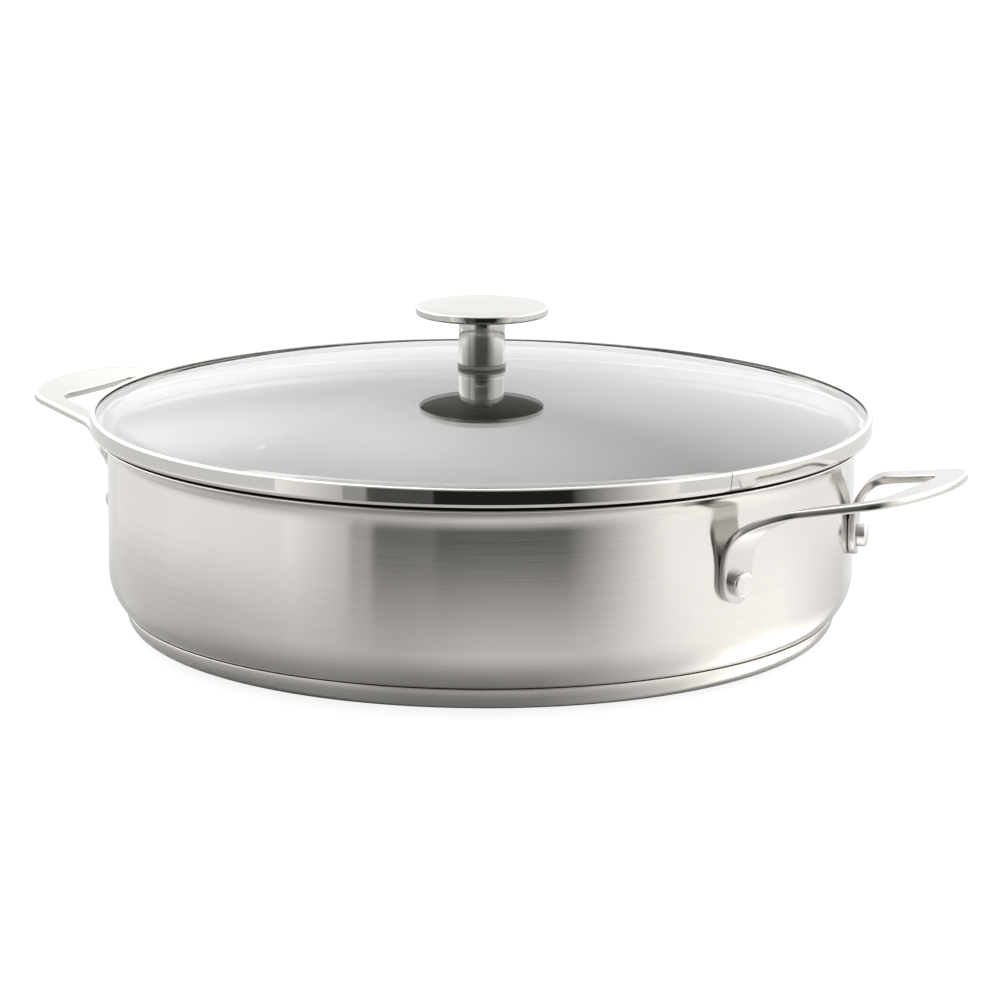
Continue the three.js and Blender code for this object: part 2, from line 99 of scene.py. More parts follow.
def new_finish(name):
    """An empty material and its tree, its shader and the piece's own coordinates in metres."""
    finish = bpy.data.materials.new(name)
    finish.use_nodes = True
    tree = finish.node_tree
    tree.nodes.clear()
    shader = add_node(tree, "ShaderNodeBsdfPrincipled")
    add_node(tree, "ShaderNodeOutputMaterial", {"Surface": shader.outputs["BSDF"]})
    place = add_node(tree, "ShaderNodeTexCoord").outputs["Object"]
    return finish, tree, shader, place


def sweep(centre, radius, start, stop, steps, rise=None):
    """Points (radius, height) along an arc in the section of a turned piece."""
    rise = radius if rise is None else rise
    angles = [start + (stop - start) * i / steps for i in range(steps + 1)]
    return [(centre[0] + radius * math.cos(a), centre[1] + rise * math.sin(a)) for a in angles]


def new_making(name, given, made):
    """An empty geometry tree with its inputs, by name and kind, and its one output."""
    tree = bpy.data.node_groups.new(name, "GeometryNodeTree")
    for socket, kind in given.items():
        tree.interface.new_socket(socket, in_out="INPUT", socket_type="NodeSocket" + kind)
    tree.interface.new_socket(made, in_out="OUTPUT", socket_type="NodeSocketGeometry")
    return tree, add_node(tree, "NodeGroupInput").outputs


def end_making(tree, shape, finish, made):
    """Ends a geometry tree: its shape becomes one mesh, with its finish, at the output."""
    real = add_node(tree, "GeometryNodeRealizeInstances", {"Geometry": shape})
    finished = add_node(
        tree,
        "GeometryNodeSetMaterial",
        {"Geometry": real.outputs["Geometry"], "Material": finish},
    )
    add_node(tree, "NodeGroupOutput", {made: finished.outputs["Geometry"]})


def make_lathe():
    """The tree that turns a section round the pan's axis, as a spinning lathe does."""
    tree, given = new_making(
        "spun_round_axis",
        {"Section": "Geometry", "Stations": "Int", "Mandrel": "Float", "Finish": "Material"},
        "Piece",
    )
    section = add_node(tree, "GeometryNodeMeshToCurve", {"Mesh": given["Section"]})
    circle = add_node(
        tree,
        "GeometryNodeCurvePrimitiveCircle",
        {"Resolution": given["Stations"], "Radius": given["Mandrel"]},
    )
    swept = add_node(
        tree,
        "GeometryNodeCurveToMesh",
        {"Curve": circle.outputs["Curve"], "Profile Curve": section.outputs["Curve"]},
    )
    merged = add_node(
        tree,
        "GeometryNodeMergeByDistance",
        {"Geometry": swept.outputs["Mesh"], "Distance": SAME_POINT * MM},
    )
    end_making(tree, merged.outputs["Geometry"], given["Finish"], "Piece")
    return tree


def make_with(tree, piece, inputs):
    """Runs a tree on a piece's mesh and keeps the result as its plain mesh."""
    modifier = piece.modifiers.new("making", "NODES")
    modifier.node_group = tree
    for socket in tree.interface.items_tree:
        if socket.in_out == "INPUT" and socket.name in inputs:
            modifier[socket.identifier] = inputs[socket.name]
    made = piece.evaluated_get(bpy.context.evaluated_depsgraph_get())
    mesh = bpy.data.meshes.new_from_object(made)
    piece.modifiers.remove(modifier)
    piece.data = mesh


def new_piece(name, points, edges, faces):
    """A piece in the scene from points in millimetres."""
    mesh = bpy.data.meshes.new(name)
    mesh.from_pydata([[c * MM for c in p] for p in points], edges, faces)
    piece = bpy.data.objects.new(name, mesh)
    bpy.context.scene.collection.objects.link(piece)
    return piece


def smooth(piece, sharp_angle=35):
    """Closes doubled points, turns the faces outward and shades all but real edges smooth."""
    work = bmesh.new()
    work.from_mesh(piece.data)
    bmesh.ops.remove_doubles(work, verts=work.verts, dist=SAME_POINT * MM)
    bmesh.ops.dissolve_degenerate(work, edges=work.edges, dist=SLIVER * MM)
    bmesh.ops.recalc_face_normals(work, faces=work.faces)
    work.to_mesh(piece.data)
    work.free()
    piece.data.shade_smooth()
    piece.data.set_sharp_from_angle(angle=math.radians(sharp_angle))


LATHE = make_lathe()


def turned(name, section, finish, stations=RING_STATIONS):
    """A piece turned round the pan's axis from its section, points of radius and height."""
    points = [(radius - MANDREL, -height, 0) for radius, height in section]
    edges = [(i, i + 1) for i in range(len(points) - 1)]
    if section[0][0] > 0:
        edges.append((len(points) - 1, 0))
    piece = new_piece(name, points, edges, [])
    make_with(LATHE, piece, {"Stations": stations, "Mandrel": MANDREL * MM, "Finish": finish})
    smooth(piece)
    return piece


# Most of a noise's values lie between these two, so a range is spread over them.
MIDDLE_VALUES = {"From Min": 0.3, "From Max": 0.7}


def ring_brushed(name, ring, length, noise, gloss, drawn_out):
    """Stainless steel spun against a belt: the material, its tree, shader and scratches."""
    finish, tree, shader, place = new_finish(name)
    scale = (1 / (length * MM), 1 / (length * MM), 1 / (ring * MM))
    rings = add_node(tree, "ShaderNodeMapping", {"Vector": place, "Scale": scale})
    scratch = add_node(
        tree, "ShaderNodeTexNoise", {"Vector": rings.outputs["Vector"], "Scale": 1.0, **noise}
    ).outputs["Fac"]
    rough = add_node(tree, "ShaderNodeMapRange", {"Value": scratch, **MIDDLE_VALUES, **gloss})
    grain = add_node(tree, "ShaderNodeTangent", direction_type="RADIAL", axis="Z")
    brushed = {
        "Metallic": 1.0,
        "Roughness": rough.outputs["Result"],
        "Anisotropic": drawn_out,
        "Anisotropic Rotation": 0.25,
        "Tangent": grain.outputs["Tangent"],
    }
    fill(tree, shader, brushed)
    return finish, tree, shader, scratch


# Stainless steel, satin-brushed in rings: dark and light in the room stay crisp across the rings
# and are drawn out up and down, and single belt scratches show as fine level lines. They are
# drawn coarser than real ones, so that they show.
BELT_RING = 0.14
BELT_LENGTH = 70.0
satin_wall, tree, shader, scratch = ring_brushed(
    "stainless_steel_ring_brushed",
    BELT_RING,
    BELT_LENGTH,
    {"Detail": 3.0, "Roughness": 0.65},
    {"To Min": 0.12, "To Max": 0.165},
    1.0,
)
tint = add_node(tree, "ShaderNodeValToRGB", {"Fac": scratch})
tint.color_ramp.elements[0].position = 0.25
tint.color_ramp.elements[0].color = linear("#CFCCC8")
tint.color_ramp.elements[1].position = 0.75
tint.color_ramp.elements[1].color = linear("#D9D7D4")
groove = add_node(
    tree, "ShaderNodeBump", {"Height": scratch, "Strength": 0.3, "Distance": 0.02 * MM}
)
fill(tree, shader, {"Base Color": tint.outputs["Color"], "Normal": groove.outputs["Normal"]})

# The inside of the same sheet, polished finer for cooking, with the room drawn out in it. Its
# colour is painted dark, as painted shade inside the covered pan.
satin_inside_painted_shade, tree, shader, scratch = ring_brushed(
    "stainless_steel_inside_painted_shade",
    BELT_RING,
    BELT_LENGTH,
    {"Detail": 3.0, "Roughness": 0.6},
    {"To Min": 0.07, "To Max": 0.12},
    0.6,
)
shader.inputs["Base Color"].default_value = linear("#93908D")

lip_start, lip_end = math.pi - LIP_START, math.pi - LIP_TURN
lip_middle = sweep(LIP_CENTRE, LIP_CURVE + LIP_EDGE, lip_end, lip_end, steps=1)[0]
inner_corner = CORNER_RADIUS - WALL_SHEET
inner_floor = BODY_FLOOR + WALL_SHEET
body_section = (
    [(0, BODY_FLOOR), (FLOOR_STATION, BODY_FLOOR)]
    + sweep(CORNER_CENTRE, CORNER_RADIUS, -QUARTER, 0, CORNER_STEPS)
    + [(WALL_RADIUS, height) for height in WALL_STATIONS]
    + sweep(SWELL_CENTRE, LIP_SWELL, math.pi, lip_start, SWELL_STEPS)
    + sweep(LIP_CENTRE, LIP_CURVE, lip_start, lip_end, LIP_STEPS)[1:]
    + sweep(lip_middle, LIP_EDGE, lip_end - math.pi, lip_end, LIP_EDGE_STEPS)[1:-1]
    + sweep(LIP_CENTRE, LIP_CURVE + WALL_SHEET, lip_end, lip_start, LIP_STEPS)
    + sweep(SWELL_CENTRE, LIP_SWELL + WALL_SHEET, lip_start, math.pi, SWELL_STEPS)[1:]
    + [(WALL_RADIUS - WALL_SHEET, height) for height in reversed(WALL_STATIONS)]
    + sweep(CORNER_CENTRE, inner_corner, 0, -QUARTER, CORNER_STEPS)
    + [(FLOOR_STATION, inner_floor), (0, inner_floor)]
)
pan_body = turned("pan_body", body_section, satin_wall)

# The inside finish, with its painted shade, covers the floor's upper face and what faces inward,
# up to the lip's end.
LEVEL_FACE = 0.95
LIP_BRUSHED = 1.0
floor_middle = BODY_FLOOR + WALL_SHEET / 2
pan_body.data.materials.append(satin_inside_painted_shade)
for face in pan_body.data.polygons:
    across = Vector((face.center.x, face.center.y, 0))
    if abs(face.normal.z) > LEVEL_FACE:
        inside = face.center.z > floor_middle * MM
    else:
        inside = across.dot(face.normal) < 0
    if inside and face.center.z < (BODY_HEIGHT - LIP_BRUSHED) * MM:
        face.material_index = 1
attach(pan_body, "pan")
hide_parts("pan_shell")

# ---------------------------------------------------------------------------------------------
# Base. An aluminium disc that spreads the heat, closed in by a stainless cap pressed round it.
# The cap's upper edge stops just short of the body, which leaves one fine dark joint line.
# ---------------------------------------------------------------------------------------------
CAP_HEIGHT = 9.0
CAP_SHEET = 0.8
CAP_JOINT = 0.4
CAP_EDGE_RUN = 11.0
CAP_EDGE_RISE = 8.0
CAP_LIP_ROUND = 0.22
CAP_LIP_STOP = math.radians(135)


def outside_corner(height, distance):
    """Radius at a height of the line that runs at a distance outside the body's corner."""
    drop = CORNER_CENTRE[1] - height
    return CORNER_CENTRE[0] + math.sqrt((CORNER_RADIUS + distance) ** 2 - drop**2)


# Stainless steel, brushed on the rim of the cap: greyer and softer than the wall above it.
CAP_RING = 0.4
CAP_LENGTH = 60.0
satin_cap, tree, shader, scratch = ring_brushed(
    "stainless_steel_cap_brushed",
    CAP_RING,
    CAP_LENGTH,
    {"Detail": 2.0, "Roughness": 0.6},
    {"To Min": 0.22, "To Max": 0.36},
    0.7,
)
tint = add_node(tree, "ShaderNodeValToRGB", {"Fac": scratch})
tint.color_ramp.elements[0].color = linear("#C6C3BE")
tint.color_ramp.elements[1].color = linear("#DCDAD6")
fill(tree, shader, {"Base Color": tint.outputs["Color"]})

cap_radius = outside_corner(CAP_HEIGHT, CAP_JOINT)
cap_inner = cap_radius - CAP_SHEET
inner_run = CAP_EDGE_RUN - CAP_SHEET
cap_edge = (cap_radius - CAP_EDGE_RUN, CAP_EDGE_RISE)
cap_lip = (cap_radius - CAP_LIP_ROUND, CAP_HEIGHT - CAP_LIP_ROUND)
inner_reach = cap_inner - CORNER_CENTRE[0]
inner_top = CORNER_CENTRE[1] - math.sqrt((CORNER_RADIUS + CAP_JOINT) ** 2 - inner_reach**2)
cap_section = (
    [(0, 0), (FLOOR_STATION, 0)]
    + sweep(cap_edge, CAP_EDGE_RUN, -QUARTER, 0, steps=20, rise=CAP_EDGE_RISE)
    + sweep(cap_lip, CAP_LIP_ROUND, 0, CAP_LIP_STOP, steps=5)
    + [(cap_inner, inner_top)]
    + sweep(cap_edge, inner_run, 0, -QUARTER, steps=12, rise=CAP_EDGE_RISE - CAP_SHEET)
    + [(0, CAP_SHEET)]
)
base_cup = turned("base_cup", cap_section, satin_cap)
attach(base_cup, "pan")
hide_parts("base_cap")


def hazy_metal(name, colour, haze_width, gloss, haze_ends=MIDDLE_VALUES):
    """A plain metal whose gloss comes and goes in a haze."""
    finish, tree, shader, place = new_finish(name)
    haze = add_node(
        tree,
        "ShaderNodeTexNoise",
        {"Vector": place, "Scale": 1 / (haze_width * MM), "Detail": 3.0},
    )
    rough = add_node(
        tree, "ShaderNodeMapRange", {"Value": haze.outputs["Fac"], **haze_ends, **gloss}
    ).outputs["Result"]
    fill(tree, shader, {"Metallic": 1.0, "Base Color": linear(colour), "Roughness": rough})
    return finish, tree, shader, place


# Rolled aluminium, left as the mill made it: matt and pale with a faint cloudiness.
MILL_CLOUD = 12.0
mill_aluminium, tree, shader, place = hazy_metal(
    "aluminium_mill_rolled",
    "#C6C7C9",
    MILL_CLOUD,
    {"To Min": 0.35, "To Max": 0.6},
    {"From Min": 0.0, "From Max": 1.0},
)
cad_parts["base_core"].data.materials.clear()
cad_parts["base_core"].data.materials.append(mill_aluminium)

# ---------------------------------------------------------------------------------------------
# Loop handles. Each is stamped from 2.9 mm stainless plate as a flat U with a window, its edges
# tumbled round, then bent: two legs down the wall, a swept bend, and a loop that rises outward.
# ---------------------------------------------------------------------------------------------
PLATE = 2.9
PLATE_EDGE = 0.75
LEG_GAP = 0.05
LEG_INNER = WALL_RADIUS + LEG_GAP
LEG_SPACING = 90.7
LEG_WIDTH = 13.6
LEG_END_HEIGHT = 41.4
BEND_START = 46.3
BEND_RADIUS = 21.4
BEND_SLOPE = math.radians(17.3)
EASE_RADIUS = 42.0
LOOP_SLOPE = math.radians(11.6)
LOOP_REACH = 192.4
LOOP_HALF_SPAN = 35.8
LOOP_CORNER = 15.0
ARM_START = 15.0
ARM_WIDTH = 9.9
ARM_LEAN = math.radians(13.3)
END_BAR = 15.3
WINDOW_CORNER = 8.0
LEG_ANGLE = math.asin(LEG_SPACING / 2 / WALL_RADIUS)
LEG_MIDDLE = LEG_INNER + PLATE / 2
LEG_STEPS, BEND_STEPS, ARM_STEPS, TURN_STEPS, FOOT_STEPS = 4, 26, 10, 22, 9
EDGE_STEPS = 4
FACE_STEPS = 6
CURVE_STEPS = 40
END_CURVE_STEPS = 60
PLATE_SHARP = 40


def bend_line():
    """Middle of the plate seen from the side: its length along, radius, height and slope."""
    samples = [
        (LEG_MIDDLE, LEG_END_HEIGHT - LEG_WIDTH / 2, QUARTER),
        (LEG_MIDDLE, BEND_START, QUARTER),
    ]
    bends = ((BEND_RADIUS, BEND_SLOPE, END_CURVE_STEPS), (EASE_RADIUS, LOOP_SLOPE, CURVE_STEPS))
    for bend, last_slope, steps in bends:
        radius, height, first_slope = samples[-1]
        centre = (radius + bend * math.sin(first_slope), height - bend * math.cos(first_slope))
        for i in range(1, steps + 1):
            slope = first_slope + (last_slope - first_slope) * i / steps
            reach = centre[0] - bend * math.sin(slope)
            samples.append((reach, centre[1] + bend * math.cos(slope), slope))
    radius, height, _ = samples[-1]
    run = LOOP_REACH + LEG_WIDTH - radius
    samples.append((radius + run, height + run * math.tan(LOOP_SLOPE), LOOP_SLOPE))
    line = [(0.0, *samples[0])]
    for sample in samples[1:]:
        length = line[-1][0] + math.dist(sample[:2], line[-1][1:3])
        line.append((length, *sample))
    return line


BEND_LINE = bend_line()


def blend(first, second, share):
    """The values that lie at a share of the way from the first ones to the second ones."""
    return tuple(a + (b - a) * share for a, b in zip(first, second))


def between(value, key):
    """The bend line at a value of its length (key 0) or, past the leg, of its radius (key 1)."""
    for low, high in zip(BEND_LINE, BEND_LINE[1:]):
        if low[key] <= value <= high[key] and high[key] > low[key]:
            return blend(low, high, (value - low[key]) / (high[key] - low[key]))
    return BEND_LINE[-1] if value > BEND_LINE[-1][key] else BEND_LINE[0]


def bezier(a, b, c, d, steps):
    """Points of a cubic curve."""
    points = [a]
    for i in range(1, steps + 1):
        t = i / steps
        weights = ((1 - t) ** 3, 3 * t * (1 - t) ** 2, 3 * t * t * (1 - t), t**3)
        points.append(tuple(sum(w * p[k] for w, p in zip(weights, (a, b, c, d))) for k in (0, 1)))
    return points


def spaced(points, count):
    """The same path with its points moved to an even spacing."""
    lengths = [0.0]
    for p, q in zip(points, points[1:]):
        lengths.append(lengths[-1] + math.dist(p, q))
    even, j = [], 0
    for i in range(count + 1):
        target = lengths[-1] * i / count
        while j < len(lengths) - 2 and lengths[j + 1] < target:
            j += 1
        share = (target - lengths[j]) / max(lengths[j + 1] - lengths[j], 1e-9)
        even.append(blend(points[j], points[j + 1], min(max(share, 0), 1)))
    return even


def ahead(point, way, run):
    """The point that lies a run ahead of another in the plate's plan."""
    return (point[0] + way[0] * run, point[1] + way[1] * run)


def half_edge(across, inset, end, corner, outer):
    """One long edge of the loop from a leg's foot to the loop's middle, as (length, turn)."""
    out = (math.cos(LEG_ANGLE), math.sin(LEG_ANGLE))
    lean = (math.cos(ARM_LEAN), -math.sin(ARM_LEAN))
    leg_end_radius = LEG_INNER + PLATE
    leg_end = (
        leg_end_radius * out[0] - across * out[1],
        leg_end_radius * out[1] + across * out[0],
    )
    shoulder = LOOP_REACH - LOOP_CORNER
    half_span = LOOP_HALF_SPAN - inset / math.cos(ARM_LEAN)

    def on_arm(x):
        return (x, half_span + (shoulder - x) * math.tan(ARM_LEAN))

    arm_start = on_arm(WALL_RADIUS + ARM_START)
    arm_end = on_arm(end - corner)
    swing = math.dist(leg_end, arm_start) / 3
    leg_swing, arm_swing = ahead(leg_end, out, swing), ahead(arm_start, lean, -swing)
    bend = bezier(leg_end, leg_swing, arm_swing, arm_start, CURVE_STEPS)
    if outer:
        lead = corner * math.sqrt(0.5)
        turn = bezier(
            arm_end, ahead(arm_end, lean, lead), (end, corner), (end, 0), END_CURVE_STEPS
        )
    else:
        lead = corner / 2
        stop = arm_end[1] - corner
        turn = bezier(
            arm_end, ahead(arm_end, lean, lead), (end, stop + lead), (end, stop), CURVE_STEPS
        )
        turn.append((end, 0.0))
    plan = spaced(bend, BEND_STEPS)
    plan += spaced([arm_start, arm_end], ARM_STEPS)[1:]
    plan += spaced(turn, TURN_STEPS)[1:]
    foot_length = LEG_WIDTH / 2
    top_length = between(math.hypot(*leg_end), 1)[0]
    path = []
    for i in range(LEG_STEPS):
        length = foot_length + (top_length - foot_length) * i / LEG_STEPS
        radius = between(length, 0)[1]
        path.append((length, LEG_ANGLE + math.asin(across / radius)))
    path += [(between(math.hypot(x, y), 1)[0], math.atan2(y, x)) for x, y in plan]
    return path


def on_plate(length, turn, lift=0.0):
    """A point of the bent plate and the direction square to it, lifted off its middle."""
    _, radius, height, slope = between(length, 0)
    east, north = math.cos(turn), math.sin(turn)
    face = Vector((-math.sin(slope) * east, -math.sin(slope) * north, math.cos(slope)))
    middle = Vector((radius * east, radius * north, height))
    return middle + face * lift, face


def loop_edges():
    """The two long edges of the loop, foot to foot, with the half round of each foot."""
    outer = half_edge(LEG_WIDTH / 2, 0.0, LOOP_REACH, LOOP_CORNER, True)
    inner = half_edge(-LEG_WIDTH / 2, ARM_WIDTH, LOOP_REACH - END_BAR, WINDOW_CORNER, False)
    round_radius = LEG_WIDTH / 2
    for i in range(1, FOOT_STEPS):
        a = QUARTER * i / FOOT_STEPS
        length = round_radius * (1 - math.sin(a))
        reach = math.asin(round_radius * math.cos(a) / LEG_MIDDLE)
        outer.insert(0, (length, LEG_ANGLE + reach))
        inner.insert(0, (length, LEG_ANGLE - reach))
    outer += [(length, -turn) for length, turn in reversed(outer[:-1])]
    inner += [(length, -turn) for length, turn in reversed(inner[:-1])]
    return outer, inner


def loop_plate(name, turn_round):
    """The bent loop: rounded edge rings along its outline, and faces that follow its bend."""
    outer, inner = loop_edges()
    count = len(outer)
    feet = [(0.0, LEG_ANGLE), (0.0, -LEG_ANGLE)]
    outline = outer + [feet[1]] + inner[::-1] + [feet[0]]
    ring_size = len(outline)
    half = PLATE / 2
    rounding = []
    for i in range(EDGE_STEPS + 1):
        a = QUARTER * i / EDGE_STEPS
        lift = half - PLATE_EDGE + PLATE_EDGE * math.sin(a)
        rounding.append((PLATE_EDGE * (1 - math.cos(a)), lift))
    rings = [(inset, -lift) for inset, lift in reversed(rounding)] + rounding
    middles = [on_plate(*p) for p in outline]
    points, faces, grain_places = [], [], []
    along = [0.0]
    for p, q in zip(middles[:count], middles[1:count]):
        along.append(along[-1] + (q[0] - p[0]).length)
    stations = along + [along[-1] + LEG_WIDTH / 4] + along[::-1] + [-LEG_WIDTH / 4]
    for inset, lift in rings:
        for i, (middle, face) in enumerate(middles):
            way = middles[(i + 1) % ring_size][0] - middles[i - 1][0]
            inward = way.cross(face).normalized()
            points.append(middle + inward * inset + face * lift)
            grain_places.append((stations[i], 0.0 if i < count else LEG_WIDTH))
    for ring in range(len(rings) - 1):
        for i in range(ring_size):
            a, b = ring * ring_size + i, ring * ring_size + (i + 1) % ring_size
            faces.append((a, b, b + ring_size, a + ring_size))
    for side, ring in ((-1, 0), (1, len(rings) - 1)):
        start = ring * ring_size
        rows = []
        for i in range(count):
            opposite = ring_size - 2 - i
            row = [start + i]
            for step in range(1, FACE_STEPS):
                share = step / FACE_STEPS
                spot = blend(outline[i], outline[opposite], share)
                points.append(on_plate(*spot, side * half)[0])
                grain_places.append((stations[i], LEG_WIDTH * share))
                row.append(len(points) - 1)
            row.append(start + opposite)
            rows.append(row)
        for low, high in zip(rows, rows[1:]):
            for step in range(FACE_STEPS):
                faces.append((low[step], low[step + 1], high[step + 1], high[step]))
        for row, foot in ((rows[0], start + ring_size - 1), (rows[-1], start + count)):
            for step in range(FACE_STEPS):
                faces.append((row[step], row[step + 1], foot))
    turn_matrix = Matrix.Rotation(turn_round, 3, "Z")
    piece = new_piece(name, [turn_matrix @ p for p in points], [], faces)
    places = piece.data.uv_layers.new(name="grain")
    for loop in piece.data.loops:
        u, v = grain_places[loop.vertex_index]
        places.data[loop.index].uv = (u * MM, v * MM)
    smooth(piece, PLATE_SHARP)
    return piece


# Stainless plate, linished along its length and tumbled: a satin face with faint lengthwise
# lines, and bright rounded edges.
LINE_LENGTH = 25.0
LINE_WIDTH = 0.3
satin_plate, tree, shader, place = new_finish("stainless_plate_linished")
along_grain = add_node(tree, "ShaderNodeUVMap", uv_map="grain").outputs["UV"]
scale = (1 / (LINE_LENGTH * MM), 1 / (LINE_WIDTH * MM), 1.0)
lines = add_node(tree, "ShaderNodeMapping", {"Vector": along_grain, "Scale": scale})
scratch = add_node(
    tree,
    "ShaderNodeTexNoise",
    {"Vector": lines.outputs["Vector"], "Scale": 1.0, "Detail": 2.0, "Roughness": 0.6},
).outputs["Fac"]
gloss = add_node(
    tree,
    "ShaderNodeMapRange",
    {"Value": scratch, **MIDDLE_VALUES, "To Min": 0.16, "To Max": 0.27},
)
groove = add_node(
    tree, "ShaderNodeBump", {"Height": scratch, "Strength": 0.03, "Distance": 0.02 * MM}
)
linished = {
    "Metallic": 1.0,
    "Base Color": linear("#C8C6C3"),
    "Roughness": gloss.outputs["Result"],
    "Normal": groove.outputs["Normal"],
}
fill(tree, shader, linished)

for side, turn_round in (("right", 0.0), ("left", math.pi)):
    handle = loop_plate("loop_handle_" + side, turn_round)
    handle.data.materials.append(satin_plate)
    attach(handle, "pan")
    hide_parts("handle_" + side)

# ---------------------------------------------------------------------------------------------
# Rivets. Four turned stainless rivets, each through a leg and the wall, with a tall round head
# outside and a low one inside. The head's end is faced on the lathe, which leaves fine circles.
# ---------------------------------------------------------------------------------------------
RIVET_HEIGHT = 42.0
SHANK_RADIUS = 2.4
HEAD_RADIUS = 4.5
HEAD_HEIGHT = 3.8
HEAD_ROUND = 1.2
HEAD_ROUND_STOP = math.radians(84)
HEAD_CROWN = 0.25
HEAD_BREAK = 0.15
CROWN_STATION = 1.6
FOOT_RADIUS = 4.6
FOOT_HEIGHT = 1.6
FOOT_ROUND = 0.9
FOOT_FLAT = 2.0
RIVET_BITE = 0.05
RIVET_STATIONS = 64


def round_axis(tree, place):
    """How far a place lies from a turned piece's axis, and how far along that axis."""
    apart = add_node(tree, "ShaderNodeSeparateXYZ", {"Vector": place}).outputs
    flat = add_node(tree, "ShaderNodeCombineXYZ", {"X": apart["X"], "Y": apart["Y"]})
    reach = add_node(
        tree, "ShaderNodeVectorMath", {0: flat.outputs["Vector"]}, operation="LENGTH"
    )
    return reach.outputs["Value"], apart["Z"]


# Stainless steel, faced and turned: bright, with fine circles on its end and round its side.
HEAD_CIRCLE = 0.35
turned_steel, tree, shader, place = new_finish("stainless_steel_turned_head")
own_place = add_node(tree, "ShaderNodeAttribute", attribute_name="rivet_place")
reach, along = round_axis(tree, own_place.outputs["Vector"])
wander = add_node(tree, "ShaderNodeCombineXYZ", {"X": reach, "Y": along})
circles = add_node(
    tree,
    "ShaderNodeTexNoise",
    {"Vector": wander.outputs["Vector"], "Scale": 1 / (HEAD_CIRCLE * MM), "Detail": 2.0},
).outputs["Fac"]
gloss = add_node(
    tree,
    "ShaderNodeMapRange",
    {"Value": circles, **MIDDLE_VALUES, "To Min": 0.2, "To Max": 0.36},
)
groove = add_node(
    tree, "ShaderNodeBump", {"Height": circles, "Strength": 0.12, "Distance": 0.03 * MM}
)
faced = {
    "Metallic": 1.0,
    "Base Color": linear("#D6D4D1"),
    "Roughness": gloss.outputs["Result"],
    "Normal": groove.outputs["Normal"],
}
fill(tree, shader, faced)


def make_rivet_places():
    """The tree that sets one rivet on each of the four legs, with its axis along the radius."""
    tree, given = new_making(
        "rivets_on_legs",
        {"Rivet": "Geometry", "Height": "Float", "Leg angle": "Float", "Finish": "Material"},
        "Rivets",
    )
    own = add_node(tree, "GeometryNodeInputPosition").outputs["Position"]
    marked = add_node(
        tree,
        "GeometryNodeStoreNamedAttribute",
        {"Geometry": given["Rivet"], "Name": "rivet_place", "Value": own},
        data_type="FLOAT_VECTOR",
        domain="POINT",
    )
    index = add_node(tree, "GeometryNodeInputIndex").outputs["Index"]
    side = add_node(tree, "ShaderNodeMath", {0: index, 1: 2.0}, operation="MODULO")
    sign = add_node(
        tree, "ShaderNodeMath", {0: side.outputs[0], 1: 2.0, 2: -1.0}, operation="MULTIPLY_ADD"
    )
    other = add_node(tree, "ShaderNodeMath", {0: index, 1: 1.5}, operation="GREATER_THAN")
    half_turn = add_node(
        tree, "ShaderNodeMath", {0: other.outputs[0], 1: math.pi}, operation="MULTIPLY"
    )
    turn = add_node(
        tree,
        "ShaderNodeMath",
        {0: sign.outputs[0], 1: given["Leg angle"], 2: half_turn.outputs[0]},
        operation="MULTIPLY_ADD",
    )
    height = add_node(tree, "ShaderNodeCombineXYZ", {"Z": given["Height"]}).outputs["Vector"]
    spots = add_node(tree, "GeometryNodePoints", {"Count": 4, "Position": height}).outputs[0]
    lie = add_node(tree, "ShaderNodeCombineXYZ", {"Y": QUARTER, "Z": turn.outputs[0]})
    set_out = add_node(
        tree,
        "GeometryNodeInstanceOnPoints",
        {
            "Points": spots,
            "Instance": marked.outputs["Geometry"],
            "Rotation": lie.outputs["Vector"],
        },
    )
    end_making(tree, set_out.outputs["Instances"], given["Finish"], "Rivets")
    return tree


leg_face = LEG_INNER + PLATE
foot_face = WALL_RADIUS - WALL_SHEET
foot_end = foot_face - FOOT_HEIGHT
head_end = leg_face + HEAD_HEIGHT
foot_rim = (FOOT_RADIUS - FOOT_ROUND, foot_end + FOOT_ROUND)
head_rim = (HEAD_RADIUS - HEAD_ROUND, head_end - HEAD_CROWN - HEAD_ROUND)
rivet_section = (
    [(0, foot_end), (FOOT_FLAT, foot_end)]
    + sweep(foot_rim, FOOT_ROUND, -QUARTER, 0, steps=6)
    + [(FOOT_RADIUS, foot_face + RIVET_BITE), (SHANK_RADIUS, foot_face + RIVET_BITE)]
    + [(SHANK_RADIUS, leg_face - RIVET_BITE), (HEAD_RADIUS - HEAD_BREAK, leg_face - RIVET_BITE)]
    + [(HEAD_RADIUS, leg_face + HEAD_BREAK)]
    + sweep(head_rim, HEAD_ROUND, 0, HEAD_ROUND_STOP, steps=8)
    + [(CROWN_STATION, head_end - HEAD_CROWN / 4), (0, head_end)]
)
rivets = turned("rivets", rivet_section, turned_steel, RIVET_STATIONS)
make_with(
    make_rivet_places(),
    rivets,
    {"Height": RIVET_HEIGHT * MM, "Leg angle": LEG_ANGLE, "Finish": turned_steel},
)
smooth(rivets)
# The rivets' inner feet take the inside finish and its painted shade.
rivets.data.materials.append(satin_inside_painted_shade)
for face in rivets.data.polygons:
    if math.hypot(face.center.x, face.center.y) < (foot_face + 2 * RIVET_BITE) * MM:
        face.material_index = 1
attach(rivets, "pan")
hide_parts("rivet_right_front", "rivet_right_rear", "rivet_left_front", "rivet_left_rear")

